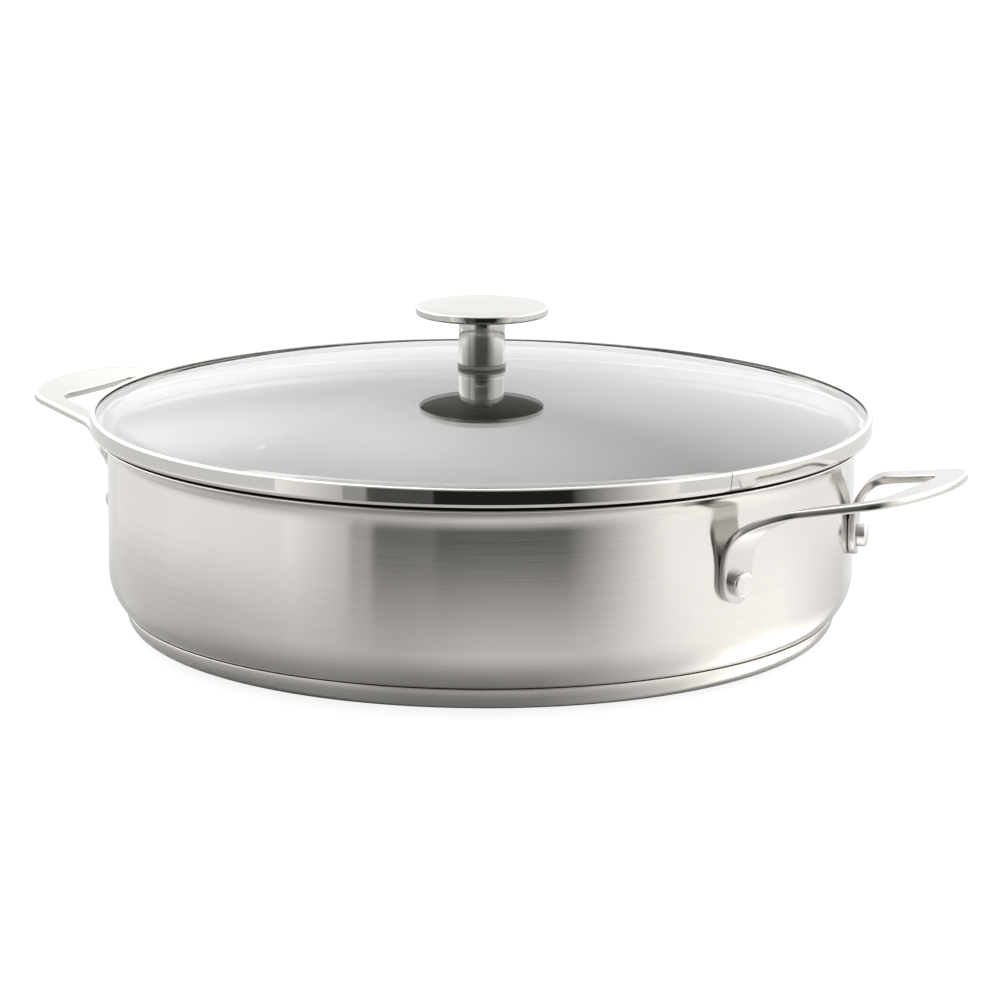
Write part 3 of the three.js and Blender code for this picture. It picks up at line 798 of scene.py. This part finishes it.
# ---------------------------------------------------------------------------------------------
# Lid band. A stainless strip rolled into a channel round the glass and polished, with its foot
# turned in and a roll below that rests in the flared lip, so an open slot stays all round.
# ---------------------------------------------------------------------------------------------
BAND_BOTTOM = 76.3
BAND_TOP = 82.9
BAND_FACE = 145.3
BAND_MOUTH = 143.3
BAND_SHEET = 0.7
BAND_SHOULDER = 0.9
BAND_SHOULDER_START = math.radians(4)
BAND_FOOT_ROUND = 0.2
BAND_FOOT_INSET = 0.55
BAND_FOOT_FLAT = 1.5
BAND_FOOT_SLOPE = math.radians(-21)
BAND_SKIRT_ROUND = 1.2
BAND_SKIRT_HEIGHT = 1.25
MOUTH_ROUND = 0.3
MOUTH_BREAK_RUN = 0.1
MOUTH_BREAK_RISE = 0.05
ROLL_CENTRE = (137.1, BAND_BOTTOM)
ROLL_GAP = 0.1
ROLL_RADIUS = math.dist(ROLL_CENTRE, LIP_CENTRE) - LIP_CURVE - WALL_SHEET - ROLL_GAP
ROLL_STOP = math.radians(6)
ROLL_BLEND = 0.3
BAND_STATIONS = 400

# Stainless steel, buffed to a mirror: it shows the room, drawn a little wavy by the rolling.
BAND_HAZE = 6.0
WAVE_LENGTH = 40.0
WAVE_HEIGHT = 12.0
mirror_band, tree, shader, place = hazy_metal(
    "stainless_steel_buffed_band", "#CFCDC9", BAND_HAZE, {"To Min": 0.03, "To Max": 0.09}
)
scale = (1 / (WAVE_LENGTH * MM), 1 / (WAVE_LENGTH * MM), 1 / (WAVE_HEIGHT * MM))
waves = add_node(tree, "ShaderNodeMapping", {"Vector": place, "Scale": scale})
swell = add_node(
    tree,
    "ShaderNodeTexNoise",
    {"Vector": waves.outputs["Vector"], "Scale": 1.0, "Detail": 1.0},
)
swelling = add_node(
    tree,
    "ShaderNodeBump",
    {"Height": swell.outputs["Fac"], "Strength": 0.25, "Distance": 0.15 * MM},
)
fill(tree, shader, {"Normal": swelling.outputs["Normal"]})

band_inside = BAND_FACE - BAND_SHEET
channel_floor = BAND_BOTTOM + BAND_SHEET
channel_top = BAND_TOP - BAND_SHEET
shoulder = (BAND_FACE - BAND_SHOULDER, BAND_TOP - BAND_SHOULDER)
foot = (BAND_FACE - BAND_FOOT_INSET, BAND_BOTTOM + BAND_FOOT_ROUND)
skirt = (BAND_FACE - BAND_SKIRT_ROUND, BAND_BOTTOM + BAND_SKIRT_HEIGHT)
foot_line = (
    sweep(foot, BAND_FOOT_ROUND, -QUARTER, BAND_FOOT_SLOPE, steps=4)
    + sweep(skirt, BAND_SKIRT_ROUND, BAND_FOOT_SLOPE, 0, steps=5)
)
mouth = (BAND_MOUTH + MOUTH_ROUND, BAND_TOP - MOUTH_ROUND)
roll_end = (ROLL_CENTRE[0], BAND_BOTTOM - ROLL_RADIUS + BAND_SHEET / 2)
roll_reach = ROLL_CENTRE[0] + ROLL_RADIUS + ROLL_BLEND
roll_inner = ROLL_RADIUS - BAND_SHEET
band_section = (
    sweep(roll_end, BAND_SHEET / 2, QUARTER, 3 * QUARTER, steps=6)[:-1]
    + sweep(ROLL_CENTRE, ROLL_RADIUS, -QUARTER, -ROLL_STOP, steps=12)
    + [(roll_reach, BAND_BOTTOM), (BAND_FACE - BAND_FOOT_FLAT, BAND_BOTTOM)]
    + foot_line
    + sweep(shoulder, BAND_SHOULDER, BAND_SHOULDER_START, QUARTER, steps=10)
    + sweep(mouth, MOUTH_ROUND, QUARTER, math.pi, steps=5)
    + [(BAND_MOUTH, channel_top + MOUTH_BREAK_RISE)]
    + [(BAND_MOUTH + MOUTH_BREAK_RUN, channel_top)]
    + sweep(shoulder, BAND_SHOULDER - BAND_SHEET, QUARTER, 0, steps=6)
    + [(band_inside, channel_floor), (roll_reach - BAND_SHEET, channel_floor)]
    + sweep(ROLL_CENTRE, roll_inner, ROLL_STOP, -QUARTER, steps=12)[:-1]
)
lid_ring = turned("lid_ring", band_section, mirror_band, BAND_STATIONS)

# The same strip where no buff reaches, under the band and in the roll: dull, with rolling haze,
# and its colour painted dark as the shade in the slot under the band.
STRIP_HAZE = 5.0
UNDER_FACE = -0.6
JUST_ABOVE = 0.01
dull_strip_painted_shade, tree, shader, place = new_finish("stainless_strip_unbuffed_painted_shade")
haze = add_node(
    tree, "ShaderNodeTexNoise", {"Vector": place, "Scale": 1 / (STRIP_HAZE * MM), "Detail": 3.0}
)
tint = add_node(tree, "ShaderNodeValToRGB", {"Fac": haze.outputs["Fac"]})
tint.color_ramp.elements[0].color = linear("#55534F")
tint.color_ramp.elements[1].color = linear("#6B6965")
strip_painted_shade_values = {"Metallic": 1.0, "Roughness": 0.45, "Base Color": tint.outputs["Color"]}
fill(tree, shader, strip_painted_shade_values)
lid_ring.data.materials.append(dull_strip_painted_shade)
# Faces under the band and in the roll take the painted shade.
for face in lid_ring.data.polygons:
    reach = math.hypot(face.center.x, face.center.y)
    under = face.center.z < foot[1] * MM and face.normal.z < UNDER_FACE
    in_roll = face.center.z < (BAND_BOTTOM + JUST_ABOVE) * MM
    if under or (in_roll and reach < (BAND_FACE - BAND_FOOT_FLAT) * MM):
        face.material_index = 1
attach(lid_ring, "lid")
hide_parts("lid_band")

# The strip's two ends meet in one butt joint: a fine dark line across the band's face.
JOINT_ANGLE = math.radians(-22.0)
JOINT_WIDTH = 0.28
JOINT_SKEW = math.radians(0.35)
JOINT_PROUD = 0.015
JOINT_DEPTH = 0.15
JOINT_TOP = 0.2
face_line = foot_line[1:] + sweep(shoulder, BAND_SHOULDER, BAND_SHOULDER_START, QUARTER, steps=8)
points, faces = [], []
for radius, height in face_line:
    turn = JOINT_ANGLE + JOINT_SKEW * (height - BAND_BOTTOM) / (BAND_TOP - BAND_BOTTOM)
    for side in (-1, 1):
        for proud in (JOINT_PROUD, -JOINT_DEPTH):
            reach = radius + proud if height < BAND_TOP - JOINT_TOP else radius
            lift = proud if height > BAND_TOP - BAND_SHOULDER else 0.0
            across = turn + side * JOINT_WIDTH / 2 / radius
            points.append((reach * math.cos(across), reach * math.sin(across), height + lift))
for k in range(0, len(points) - 4, 4):
    for a, b in ((0, 2), (2, 3), (3, 1), (1, 0)):
        faces.append((k + a, k + b, k + b + 4, k + a + 4))
last = len(points) - 4
faces += [(0, 1, 3, 2), (last, last + 2, last + 3, last + 1)]
band_joint = new_piece("band_joint", points, [], faces)
smooth(band_joint)
# The joint's groove takes the strip's dark colour as its dark line.
band_joint.data.materials.append(dull_strip_painted_shade)
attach(band_joint, "lid")

# ---------------------------------------------------------------------------------------------
# Lid glass. A disc of clear tempered glass, slumped to a low dome and ground at its edge, on a
# ring of silicone in the band.
# ---------------------------------------------------------------------------------------------
GLASS_RADIUS = 144.0
GLASS_THICKNESS = 3.4
GLASS_RISE = 16.3
GLASS_RIM_BOTTOM = 78.5
GLASS_EDGE = 0.3
GLASS_HOLE = 6.0
DOME_FOOT = 140.2
RIM_BLEND_RUN = 1.2
RIM_BLEND_DROP = 0.02
DOME_STEPS = 28
GLASS_RIM_TOP = GLASS_RIM_BOTTOM + GLASS_THICKNESS
DOME_RADIUS = (DOME_FOOT**2 + GLASS_RISE**2) / (2 * GLASS_RISE)


def dome_height(radius):
    """Height of the dome's upper face at a radius."""
    return GLASS_RIM_TOP + math.sqrt(DOME_RADIUS**2 - radius**2) - (DOME_RADIUS - GLASS_RISE)


# Soda-lime glass, tempered: clear, with the faintest green, and long shallow waves from slumping.
GLASS_WAVE = 60.0
clear_glass, tree, shader, place = new_finish("soda_lime_glass_tempered")
ripple = add_node(
    tree, "ShaderNodeTexNoise", {"Vector": place, "Scale": 1 / (GLASS_WAVE * MM), "Detail": 0.0}
)
slump = add_node(
    tree,
    "ShaderNodeBump",
    {"Height": ripple.outputs["Fac"], "Strength": 0.05, "Distance": 0.2 * MM},
)
tempered = {
    "Base Color": linear("#F6FBF9"),
    "Roughness": 0.0,
    "IOR": 1.5,
    "Transmission Weight": 1.0,
    "Normal": slump.outputs["Normal"],
}
fill(tree, shader, tempered)

hole_edge = GLASS_HOLE + GLASS_EDGE
rim_start = DOME_FOOT + RIM_BLEND_RUN
dome_run = [DOME_FOOT + (hole_edge - DOME_FOOT) * i / DOME_STEPS for i in range(DOME_STEPS + 1)]
upper = [(radius, dome_height(radius)) for radius in dome_run]
lower = [(radius, height - GLASS_THICKNESS) for radius, height in reversed(upper)]
hole_top, hole_bottom = upper[-1][1], lower[0][1]
rim_edge = GLASS_RADIUS - GLASS_EDGE
glass_section = (
    [(GLASS_HOLE, hole_bottom + GLASS_EDGE)]
    + lower
    + [(rim_start, GLASS_RIM_BOTTOM - RIM_BLEND_DROP), (rim_edge, GLASS_RIM_BOTTOM)]
    + [(GLASS_RADIUS, GLASS_RIM_BOTTOM + GLASS_EDGE)]
    + sweep((rim_edge, GLASS_RIM_TOP - GLASS_EDGE), GLASS_EDGE, 0, QUARTER, steps=5)
    + [(rim_start, GLASS_RIM_TOP - RIM_BLEND_DROP)]
    + upper
    + [(GLASS_HOLE, hole_top - GLASS_EDGE)]
)
lid_dome = turned("lid_dome", glass_section, clear_glass)
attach(lid_dome, "lid")
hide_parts("lid_glass")

# Moulded silicone: soft grey, dull, with a fine grain from the mould.
MOULD_GRAIN = 0.4
grey_silicone, tree, shader, place = new_finish("silicone_moulded_grey")
mould = add_node(
    tree, "ShaderNodeTexNoise", {"Vector": place, "Scale": 1 / (MOULD_GRAIN * MM), "Detail": 2.0}
).outputs["Fac"]
tint = add_node(tree, "ShaderNodeValToRGB", {"Fac": mould})
tint.color_ramp.elements[0].color = linear("#7C7B78")
tint.color_ramp.elements[1].color = linear("#92918D")
pores = add_node(
    tree, "ShaderNodeBump", {"Height": mould, "Strength": 0.1, "Distance": 0.05 * MM}
)
moulded = {
    "Roughness": 0.55,
    "Base Color": tint.outputs["Color"],
    "Normal": pores.outputs["Normal"],
}
fill(tree, shader, moulded)

BED_INNER = 142.2
BED_OUTER = 143.9
BED_EDGE = 0.2
BED_STATIONS = 200
CLEARANCE = 0.02
bed_bottom, bed_top = channel_floor + CLEARANCE, GLASS_RIM_BOTTOM - CLEARANCE
bedding_section = [
    (BED_INNER, bed_bottom + BED_EDGE),
    (BED_INNER + BED_EDGE, bed_bottom),
    (BED_OUTER, bed_bottom),
    (BED_OUTER, bed_top),
    (BED_INNER + BED_EDGE, bed_top),
    (BED_INNER, bed_top - BED_EDGE),
]
bed_ring = turned("silicone_bed", bedding_section, grey_silicone, BED_STATIONS)
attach(bed_ring, "lid")
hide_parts("glass_bedding")

# ---------------------------------------------------------------------------------------------
# Knob. A disc turned from stainless bar and a stem pressed into it, both buffed bright. A screw
# from below draws the stem down on the glass, with soft washers on both faces of the glass.
# ---------------------------------------------------------------------------------------------
KNOB_STATIONS = 160
DISC_RADIUS = 24.65
DISC_BOTTOM = 118.2
KNOB_TOP = 121.2
DISC_ROUND = 0.7
DISC_STATION = 12.0
STEM_RADIUS = 8.6
STEM_BOTTOM = 99.6
STEM_EDGE = 0.25
PRESS_GAP = 0.01
SCREW_BORE = 2.8
BORE_TOP = 110.6

# Stainless steel, buffed: mirror-bright, with a faint haze left by the buffing.
KNOB_HAZE = 4.0
mirror_knob, tree, shader, place = hazy_metal(
    "stainless_steel_buffed_knob", "#C5C3BF", KNOB_HAZE, {"To Min": 0.04, "To Max": 0.1}
)

disc_edge = DISC_RADIUS - DISC_ROUND
disc_section = (
    [(0, DISC_BOTTOM), (DISC_STATION, DISC_BOTTOM)]
    + sweep((disc_edge, DISC_BOTTOM + DISC_ROUND), DISC_ROUND, -QUARTER, 0, steps=6)
    + sweep((disc_edge, KNOB_TOP - DISC_ROUND), DISC_ROUND, 0, QUARTER, steps=6)
    + [(DISC_STATION, KNOB_TOP), (0, KNOB_TOP)]
)
disc = turned("grip_disc", disc_section, mirror_knob, KNOB_STATIONS)

# The disc's underside, left as the lathe made it: dull, with circles a millimetre apart, and its
# colour painted dark as the shade under the disc.
LATHE_CIRCLE = 1.0
DISC_UNDER_FACE = -0.5
turned_underside_painted_shade, tree, shader, place = new_finish("stainless_steel_underside_painted_shade")
reach, along = round_axis(tree, place)
circles = add_node(
    tree,
    "ShaderNodeTexNoise",
    {"W": reach, "Scale": 1 / (LATHE_CIRCLE * MM)},
    noise_dimensions="1D",
)
tint = add_node(tree, "ShaderNodeValToRGB", {"Fac": circles.outputs["Fac"]})
tint.color_ramp.elements[0].color = linear("#54524F")
tint.color_ramp.elements[1].color = linear("#747270")
underside_painted_shade_values = {"Metallic": 1.0, "Roughness": 0.38, "Base Color": tint.outputs["Color"]}
fill(tree, shader, underside_painted_shade_values)
disc.data.materials.append(turned_underside_painted_shade)
# Faces that look down take the painted shade.
for face in disc.data.polygons:
    if face.normal.z < DISC_UNDER_FACE:
        face.material_index = 1
stem_top = DISC_BOTTOM - PRESS_GAP
stem_rim = (STEM_RADIUS - STEM_EDGE, STEM_BOTTOM + STEM_EDGE)
stem_section = (
    [(0, BORE_TOP), (SCREW_BORE, BORE_TOP), (SCREW_BORE, STEM_BOTTOM)]
    + sweep(stem_rim, STEM_EDGE, -QUARTER, 0, steps=4)
    + [(STEM_RADIUS, stem_top), (0, stem_top)]
)
stem = turned("grip_stem", stem_section, mirror_knob, KNOB_STATIONS)
for piece, node in ((disc, "knob_disc"), (stem, "knob_stem")):
    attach(piece, "lid")
    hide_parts(node)

# The seal above the glass has a sleeve in its hole; below it come a seal, a washer and the screw.
SEAL_RADIUS = 9.0
SEAL_EDGE = 0.3
SLEEVE_RADIUS = 5.7
SLEEVE_SHORT = 0.4
LOWER_SEAL_RADIUS = 9.6
LOWER_SEAL_BOTTOM = 93.0
WASHER_RADIUS = 9.0
WASHER_BOTTOM = 91.5
WASHER_EDGE = 0.2
SCREW_RADIUS = 2.5
SCREW_TOP = 109.6
SCREW_HEAD_RADIUS = 4.6
SCREW_HEAD_ROUND = 2.2
SCREW_HEAD_BOTTOM = 88.6
SCREW_DIMPLE_RADIUS = 1.5
SCREW_DIMPLE_DEPTH = 0.05


def washer_section(radius, bottom, top, edge):
    """The section of a washer round the screw, its outer edges rounded."""
    return (
        [(SCREW_BORE, bottom)]
        + sweep((radius - edge, bottom + edge), edge, -QUARTER, 0, steps=4)
        + sweep((radius - edge, top - edge), edge, 0, QUARTER, steps=4)
        + [(SCREW_BORE, top)]
    )


glass_top = dome_height(SEAL_RADIUS)
glass_under = glass_top - GLASS_THICKNESS
sleeve_end = glass_under + SLEEVE_SHORT
seal_bottom, seal_top = glass_top + CLEARANCE, STEM_BOTTOM - CLEARANCE
seal_section = (
    [(SCREW_BORE, sleeve_end), (SLEEVE_RADIUS, sleeve_end), (SLEEVE_RADIUS, seal_bottom)]
    + washer_section(SEAL_RADIUS, seal_bottom, seal_top, SEAL_EDGE)[1:]
)
lower_section = washer_section(
    LOWER_SEAL_RADIUS, LOWER_SEAL_BOTTOM, glass_under - CLEARANCE, SEAL_EDGE
)
steel_section = washer_section(
    WASHER_RADIUS, WASHER_BOTTOM, LOWER_SEAL_BOTTOM - CLEARANCE, WASHER_EDGE
)
head_round = (SCREW_HEAD_RADIUS - SCREW_HEAD_ROUND, SCREW_HEAD_BOTTOM + SCREW_HEAD_ROUND)
head_top = WASHER_BOTTOM - CLEARANCE
screw_section = (
    [(0, SCREW_HEAD_BOTTOM)]
    + [(SCREW_DIMPLE_RADIUS, SCREW_HEAD_BOTTOM + SCREW_DIMPLE_DEPTH)]
    + sweep(head_round, SCREW_HEAD_ROUND, -QUARTER, 0, steps=8)
    + [(SCREW_HEAD_RADIUS, head_top), (SCREW_RADIUS, head_top)]
    + [(SCREW_RADIUS, SCREW_TOP), (0, SCREW_TOP)]
)
hidden_fixings = (
    ("soft_washer_above", seal_section, grey_silicone, "knob_seal", "silicone"),
    ("soft_washer_below", lower_section, grey_silicone, "lower_seal", "silicone"),
    ("steel_washer", steel_section, mirror_knob, "screw_washer", "polished_steel"),
    ("stem_screw", screw_section, mirror_knob, "knob_screw", "polished_steel"),
)
for name, section, finish, node, slot in hidden_fixings:
    piece = turned(name, section, finish, KNOB_STATIONS)
    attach(piece, "lid")
    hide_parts(node)

# ---------------------------------------------------------------------------------------------
# Studio. A white table in a pale room that is brighter above and behind, a softbox at the right,
# and in front of the table the dark of the room, which the steel shows as its dark bands.
# Round the pan's foot, shade and light are painted on sheets that only the steel sees.
# ---------------------------------------------------------------------------------------------
VIEW_TURN = math.radians(31.15)
VIEW_DIP = math.radians(12.370)
VIEW_ROLL = math.radians(0.34)
ACROSS = Vector((math.cos(VIEW_TURN), math.sin(VIEW_TURN), 0))
AWAY = Vector((-math.sin(VIEW_TURN), math.cos(VIEW_TURN), 0))
UP = Vector((0, 0, 1))

scene = bpy.context.scene
scene.view_settings.view_transform = "Standard"


def toward(turn, rise):
    """The direction so many degrees to the right of the camera's side and so many above level."""
    turn, rise = math.radians(turn), math.radians(rise)
    return (ACROSS * math.sin(turn) - AWAY * math.cos(turn)) * math.cos(rise) + UP * math.sin(rise)


def glow(tree, way, turn, rise, full, gone, inside, outside=0.0):
    """A value that passes softly from inside, round a direction, to outside."""
    facing = add_node(
        tree, "ShaderNodeVectorMath", {0: way, 1: toward(turn, rise)}, operation="DOT_PRODUCT"
    )
    spread = {
        "Value": facing.outputs["Value"],
        "From Min": math.cos(math.radians(gone)),
        "From Max": math.cos(math.radians(full)),
        "To Min": outside,
        "To Max": inside,
    }
    soft = add_node(tree, "ShaderNodeMapRange", spread, interpolation_type="SMOOTHSTEP")
    return soft.outputs["Result"]


# The room: white where the camera looks past the object, and for all other light a soft level
# that rises above and behind, rises a little at both sides, and falls off in front. A glow has
# the turn and rise of its middle, the angles from there where it is full and gone, and a level.
ROOM_LEVEL = 1.1
BEHIND_ABOVE = (-138, 45, 32, 43, 1.1)
BACK_RIGHT = (154, 16, 12, 29, 0.45)
BACK_LEFT = (-155, 7, 12, 27, 0.44)
RIGHT_SIDE = (105, 20, 22, 64, 0.85)
LEFT_SIDE = (-95, 18, 22, 60, 0.7)
FRONT = (-12, 0, 30, 85, 0.32)
CLEAR_OF_TABLE = {"From Min": 0.01, "From Max": 0.1}
world = bpy.data.worlds.new("pale_room")
world.use_nodes = True
tree = world.node_tree
tree.nodes.clear()
way = add_node(tree, "ShaderNodeTexCoord").outputs["Generated"]
above = add_node(tree, "ShaderNodeSeparateXYZ", {"Vector": way}).outputs["Z"]
clear = add_node(tree, "ShaderNodeMapRange", {"Value": above, **CLEAR_OF_TABLE}).outputs["Result"]
pair = {0: glow(tree, way, *BACK_RIGHT), 1: glow(tree, way, *BACK_LEFT)}
back = add_node(tree, "ShaderNodeMath", pair, operation="ADD").outputs[0]
back = add_node(tree, "ShaderNodeMath", {0: back, 1: clear}, operation="MULTIPLY").outputs[0]
level = ROOM_LEVEL
for part in (
    glow(tree, way, *BEHIND_ABOVE),
    back,
    glow(tree, way, *RIGHT_SIDE),
    glow(tree, way, *LEFT_SIDE),
):
    level = add_node(tree, "ShaderNodeMath", {0: part, 1: level}, operation="ADD").outputs[0]
front = glow(tree, way, *FRONT, outside=1.0)
level = add_node(tree, "ShaderNodeMath", {0: level, 1: front}, operation="MULTIPLY").outputs[0]
ray = add_node(tree, "ShaderNodeLightPath").outputs
level = add_node(tree, "ShaderNodeMix", {"Factor": ray["Is Camera Ray"], "A": level, "B": 1.0})
room = add_node(
    tree, "ShaderNodeBackground", {"Color": (1, 1, 1, 1), "Strength": level.outputs[0]}
)
add_node(tree, "ShaderNodeOutputWorld", {"Surface": room.outputs["Background"]})
scene.world = world

# White table top: to the camera, and through glass, it is near white with a faint shade under
# the object. The steel sees it as plain matt grey.
TABLE_HALF = 8000.0
TABLE_DROP = 0.2
table_white, tree, shader, place = new_finish("table_white_laminate")
tree.nodes.remove(shader)
ray = add_node(tree, "ShaderNodeLightPath").outputs
straight = add_node(
    tree,
    "ShaderNodeMath",
    {0: ray["Is Camera Ray"], 1: ray["Is Transmission Ray"]},
    operation="MAXIMUM",
)
matt = add_node(tree, "ShaderNodeBsdfDiffuse", {"Color": (0.54, 0.54, 0.54, 1)})
faint = add_node(tree, "ShaderNodeBsdfDiffuse", {"Color": (0.16, 0.16, 0.16, 1)})
white = add_node(tree, "ShaderNodeEmission", {"Strength": 0.88})
seen = add_node(tree, "ShaderNodeAddShader", {0: faint.outputs[0], 1: white.outputs[0]})
both = add_node(
    tree,
    "ShaderNodeMixShader",
    {0: straight.outputs[0], 1: matt.outputs[0], 2: seen.outputs[0]},
)
output = next(n for n in tree.nodes if n.type == "OUTPUT_MATERIAL")
fill(tree, output, {"Surface": both.outputs[0]})

corners = ((-1, -1), (1, -1), (1, 1), (-1, 1))
corners = [(TABLE_HALF * x, TABLE_HALF * y, 0) for x, y in corners]
table = new_piece("table", corners, [], [(0, 1, 2, 3)])
table.location.z = -TABLE_DROP * MM
table.data.materials.append(table_white)

# The dark beyond the table's front edge, in strips that fan out from the pan, and near the pan
# a painted shade on the table, with painted light at the right: only mirrored light sees them.
# A strip has the first and last turn of the wall that mirrors it, in degrees, and its levels
# there.
SHADE_STRIPS = (
    (-75.0, -55.0, 1.0, 1.2),
    (-55.0, -30.0, 1.25, 1.3),
    (-30.0, -19.5, 1.25, 0.7),
    (-19.5, -16.0, 0.42, 0.42),
    (-16.0, -6.5, 0.1, 0.1),
    (-6.5, 13.0, 0.02, 0.02),
    (13.0, 29.0, 0.04, 1.28),
    (29.0, 75.0, 1.4, 1.14),
)
STRIP_STEPS = 8
# The painted shade at a turn, painted light where it is above the table's level: its level right
# by the base, and the level just before the base.
NEAR_SHADE = (
    (-75.0, 0.4, 0.8),
    (-45.0, 0.3, 0.6),
    (-27.0, 0.29, 0.7),
    (-12.0, 0.23, 0.64),
    (0.0, 0.21, 0.78),
    (10.0, 0.24, 0.78),
    (18.0, 0.38, 0.78),
    (25.0, 0.52, 1.02),
    (36.0, 0.9, 1.3),
    (52.0, 2.3, 1.4),
    (66.0, 2.4, 1.0),
    (75.0, 1.8, 0.8),
)
# Runs out from the wall, in metres: under the base's edge, with the share of the second level,
# then over the table, with the share of the strip's level. A strip darker than CARD_LEVEL goes
# on to a card that stands up in front: its runs and heights, and how much lighter it gets.
UNDER_RUN = ((-0.012, 0.0), (0.0, 0.18), (0.02, 0.7), (0.05, 1.0))
SHADE_RUN = (
    (0.07, 0.0),
    (0.12, 0.02),
    (0.155, 0.1),
    (0.185, 0.44),
    (0.215, 0.92),
    (0.24, 1.0),
    (0.34, 1.0),
)
SHADE_LIFT = 0.0004
CARD_LEVEL = 0.9
DARK_RISE = (
    (0.9, SHADE_LIFT, 0.0),
    (1.3, 0.12, 0.0),
    (1.5, 0.3, 0.05),
    (1.5, 0.5, 0.16),
    (1.5, 1.0, 0.28),
)


def shade_rows(turn, far):
    """The runs, heights and levels of a strip at a turn, from under the base to the card's top."""
    for low, high in zip(NEAR_SHADE, NEAR_SHADE[1:]):
        if low[0] <= turn <= high[0]:
            under, near = blend(low[1:], high[1:], (turn - low[0]) / (high[0] - low[0]))
    rows = [(run, SHADE_LIFT, under + (near - under) * share) for run, share in UNDER_RUN]
    rows += [(run, SHADE_LIFT, near + (far - near) * share) for run, share in SHADE_RUN]
    return rows + [(run, rise, far + more) for run, rise, more in DARK_RISE]


dark_room_and_painted_shade = bpy.data.materials.new("dark_room_and_painted_shade")
dark_room_and_painted_shade.use_nodes = True
tree = dark_room_and_painted_shade.node_tree
tree.nodes.clear()
own_level = add_node(tree, "ShaderNodeAttribute", attribute_name="level").outputs["Fac"]
face = add_node(
    tree, "ShaderNodeEmission", {"Color": (1.0, 0.988, 0.972, 1), "Strength": own_level}
)
add_node(tree, "ShaderNodeOutputMaterial", {"Surface": face.outputs[0]})
points, faces, levels = [], [], []
for strip in SHADE_STRIPS:
    card_rows = len(DARK_RISE) if min(strip[2:]) < CARD_LEVEL else 0
    reaches = len(UNDER_RUN) + len(SHADE_RUN) + card_rows
    for step in range(STRIP_STEPS + 1):
        turn, far = blend(strip[::2], strip[1::2], step / STRIP_STEPS)
        start = toward(turn, 0) * WALL_RADIUS * MM
        for run, rise, row_level in shade_rows(turn, far)[:reaches]:
            points.append((start + toward(2 * turn, 0) * run + UP * rise) / MM)
            levels.append(row_level)
        if step:
            row = len(points) - reaches
            for i in range(row, row + reaches - 1):
                faces.append((i, i + 1, i + 1 - reaches, i - reaches))
dark = new_piece("dark_front_and_painted_shade", points, [], faces)
dark.data.attributes.new("level", "FLOAT", "POINT").data.foreach_set("value", levels)
dark.data.materials.append(dark_room_and_painted_shade)
dark.visible_camera = False
dark.visible_diffuse = False
dark.visible_transmission = False
dark.visible_shadow = False
dark.visible_volume_scatter = False

# Softbox at the right, which steel and glass don't show.
SOFTBOX_SIZE = 0.8
SOFTBOX_POWER = 6.0
SOFTBOX_DISTANCE = 1.3
SOFTBOX_TURN, SOFTBOX_RISE = 96, 36
SOFTBOX_AIM = Vector((0, 0, 0.05))
lamp = bpy.data.lights.new("softbox", "AREA")
lamp.shape = "RECTANGLE"
lamp.size, lamp.size_y = SOFTBOX_SIZE, SOFTBOX_SIZE
lamp.energy = SOFTBOX_POWER
softbox = bpy.data.objects.new("softbox", lamp)
scene.collection.objects.link(softbox)
softbox.location = toward(SOFTBOX_TURN, SOFTBOX_RISE) * SOFTBOX_DISTANCE
softbox.visible_glossy = False
softbox.visible_transmission = False
softbox.rotation_mode = "QUATERNION"
softbox.rotation_quaternion = (SOFTBOX_AIM - softbox.location).to_track_quat("-Z", "Y")

# ---------------------------------------------------------------------------------------------
# Camera. A long lens at the photograph's angle, from a little above the lid and rolled by a
# third of a degree, fitted to the ellipses of rim, lid, base and knob.
# ---------------------------------------------------------------------------------------------
CAMERA_ACROSS = 0.00803
CAMERA_BACK = 1.616
CAMERA_HEIGHT = 0.401
LENS = 158.4
SENSOR = 36.0
camera_place = ACROSS * CAMERA_ACROSS - AWAY * CAMERA_BACK + UP * CAMERA_HEIGHT
look = AWAY * math.cos(VIEW_DIP) - UP * math.sin(VIEW_DIP)
level_up = AWAY * math.sin(VIEW_DIP) + UP * math.cos(VIEW_DIP)
right_axis = ACROSS * math.cos(VIEW_ROLL) + level_up * math.sin(VIEW_ROLL)
up_axis = level_up * math.cos(VIEW_ROLL) - ACROSS * math.sin(VIEW_ROLL)
axes = Matrix((right_axis, up_axis, -look)).transposed()
lens = bpy.data.cameras.new("camera")
lens.lens = LENS
lens.sensor_width = SENSOR
camera = bpy.data.objects.new("camera", lens)
scene.collection.objects.link(camera)
camera.matrix_world = Matrix.Translation(camera_place) @ axes.to_4x4()
scene.camera = camera
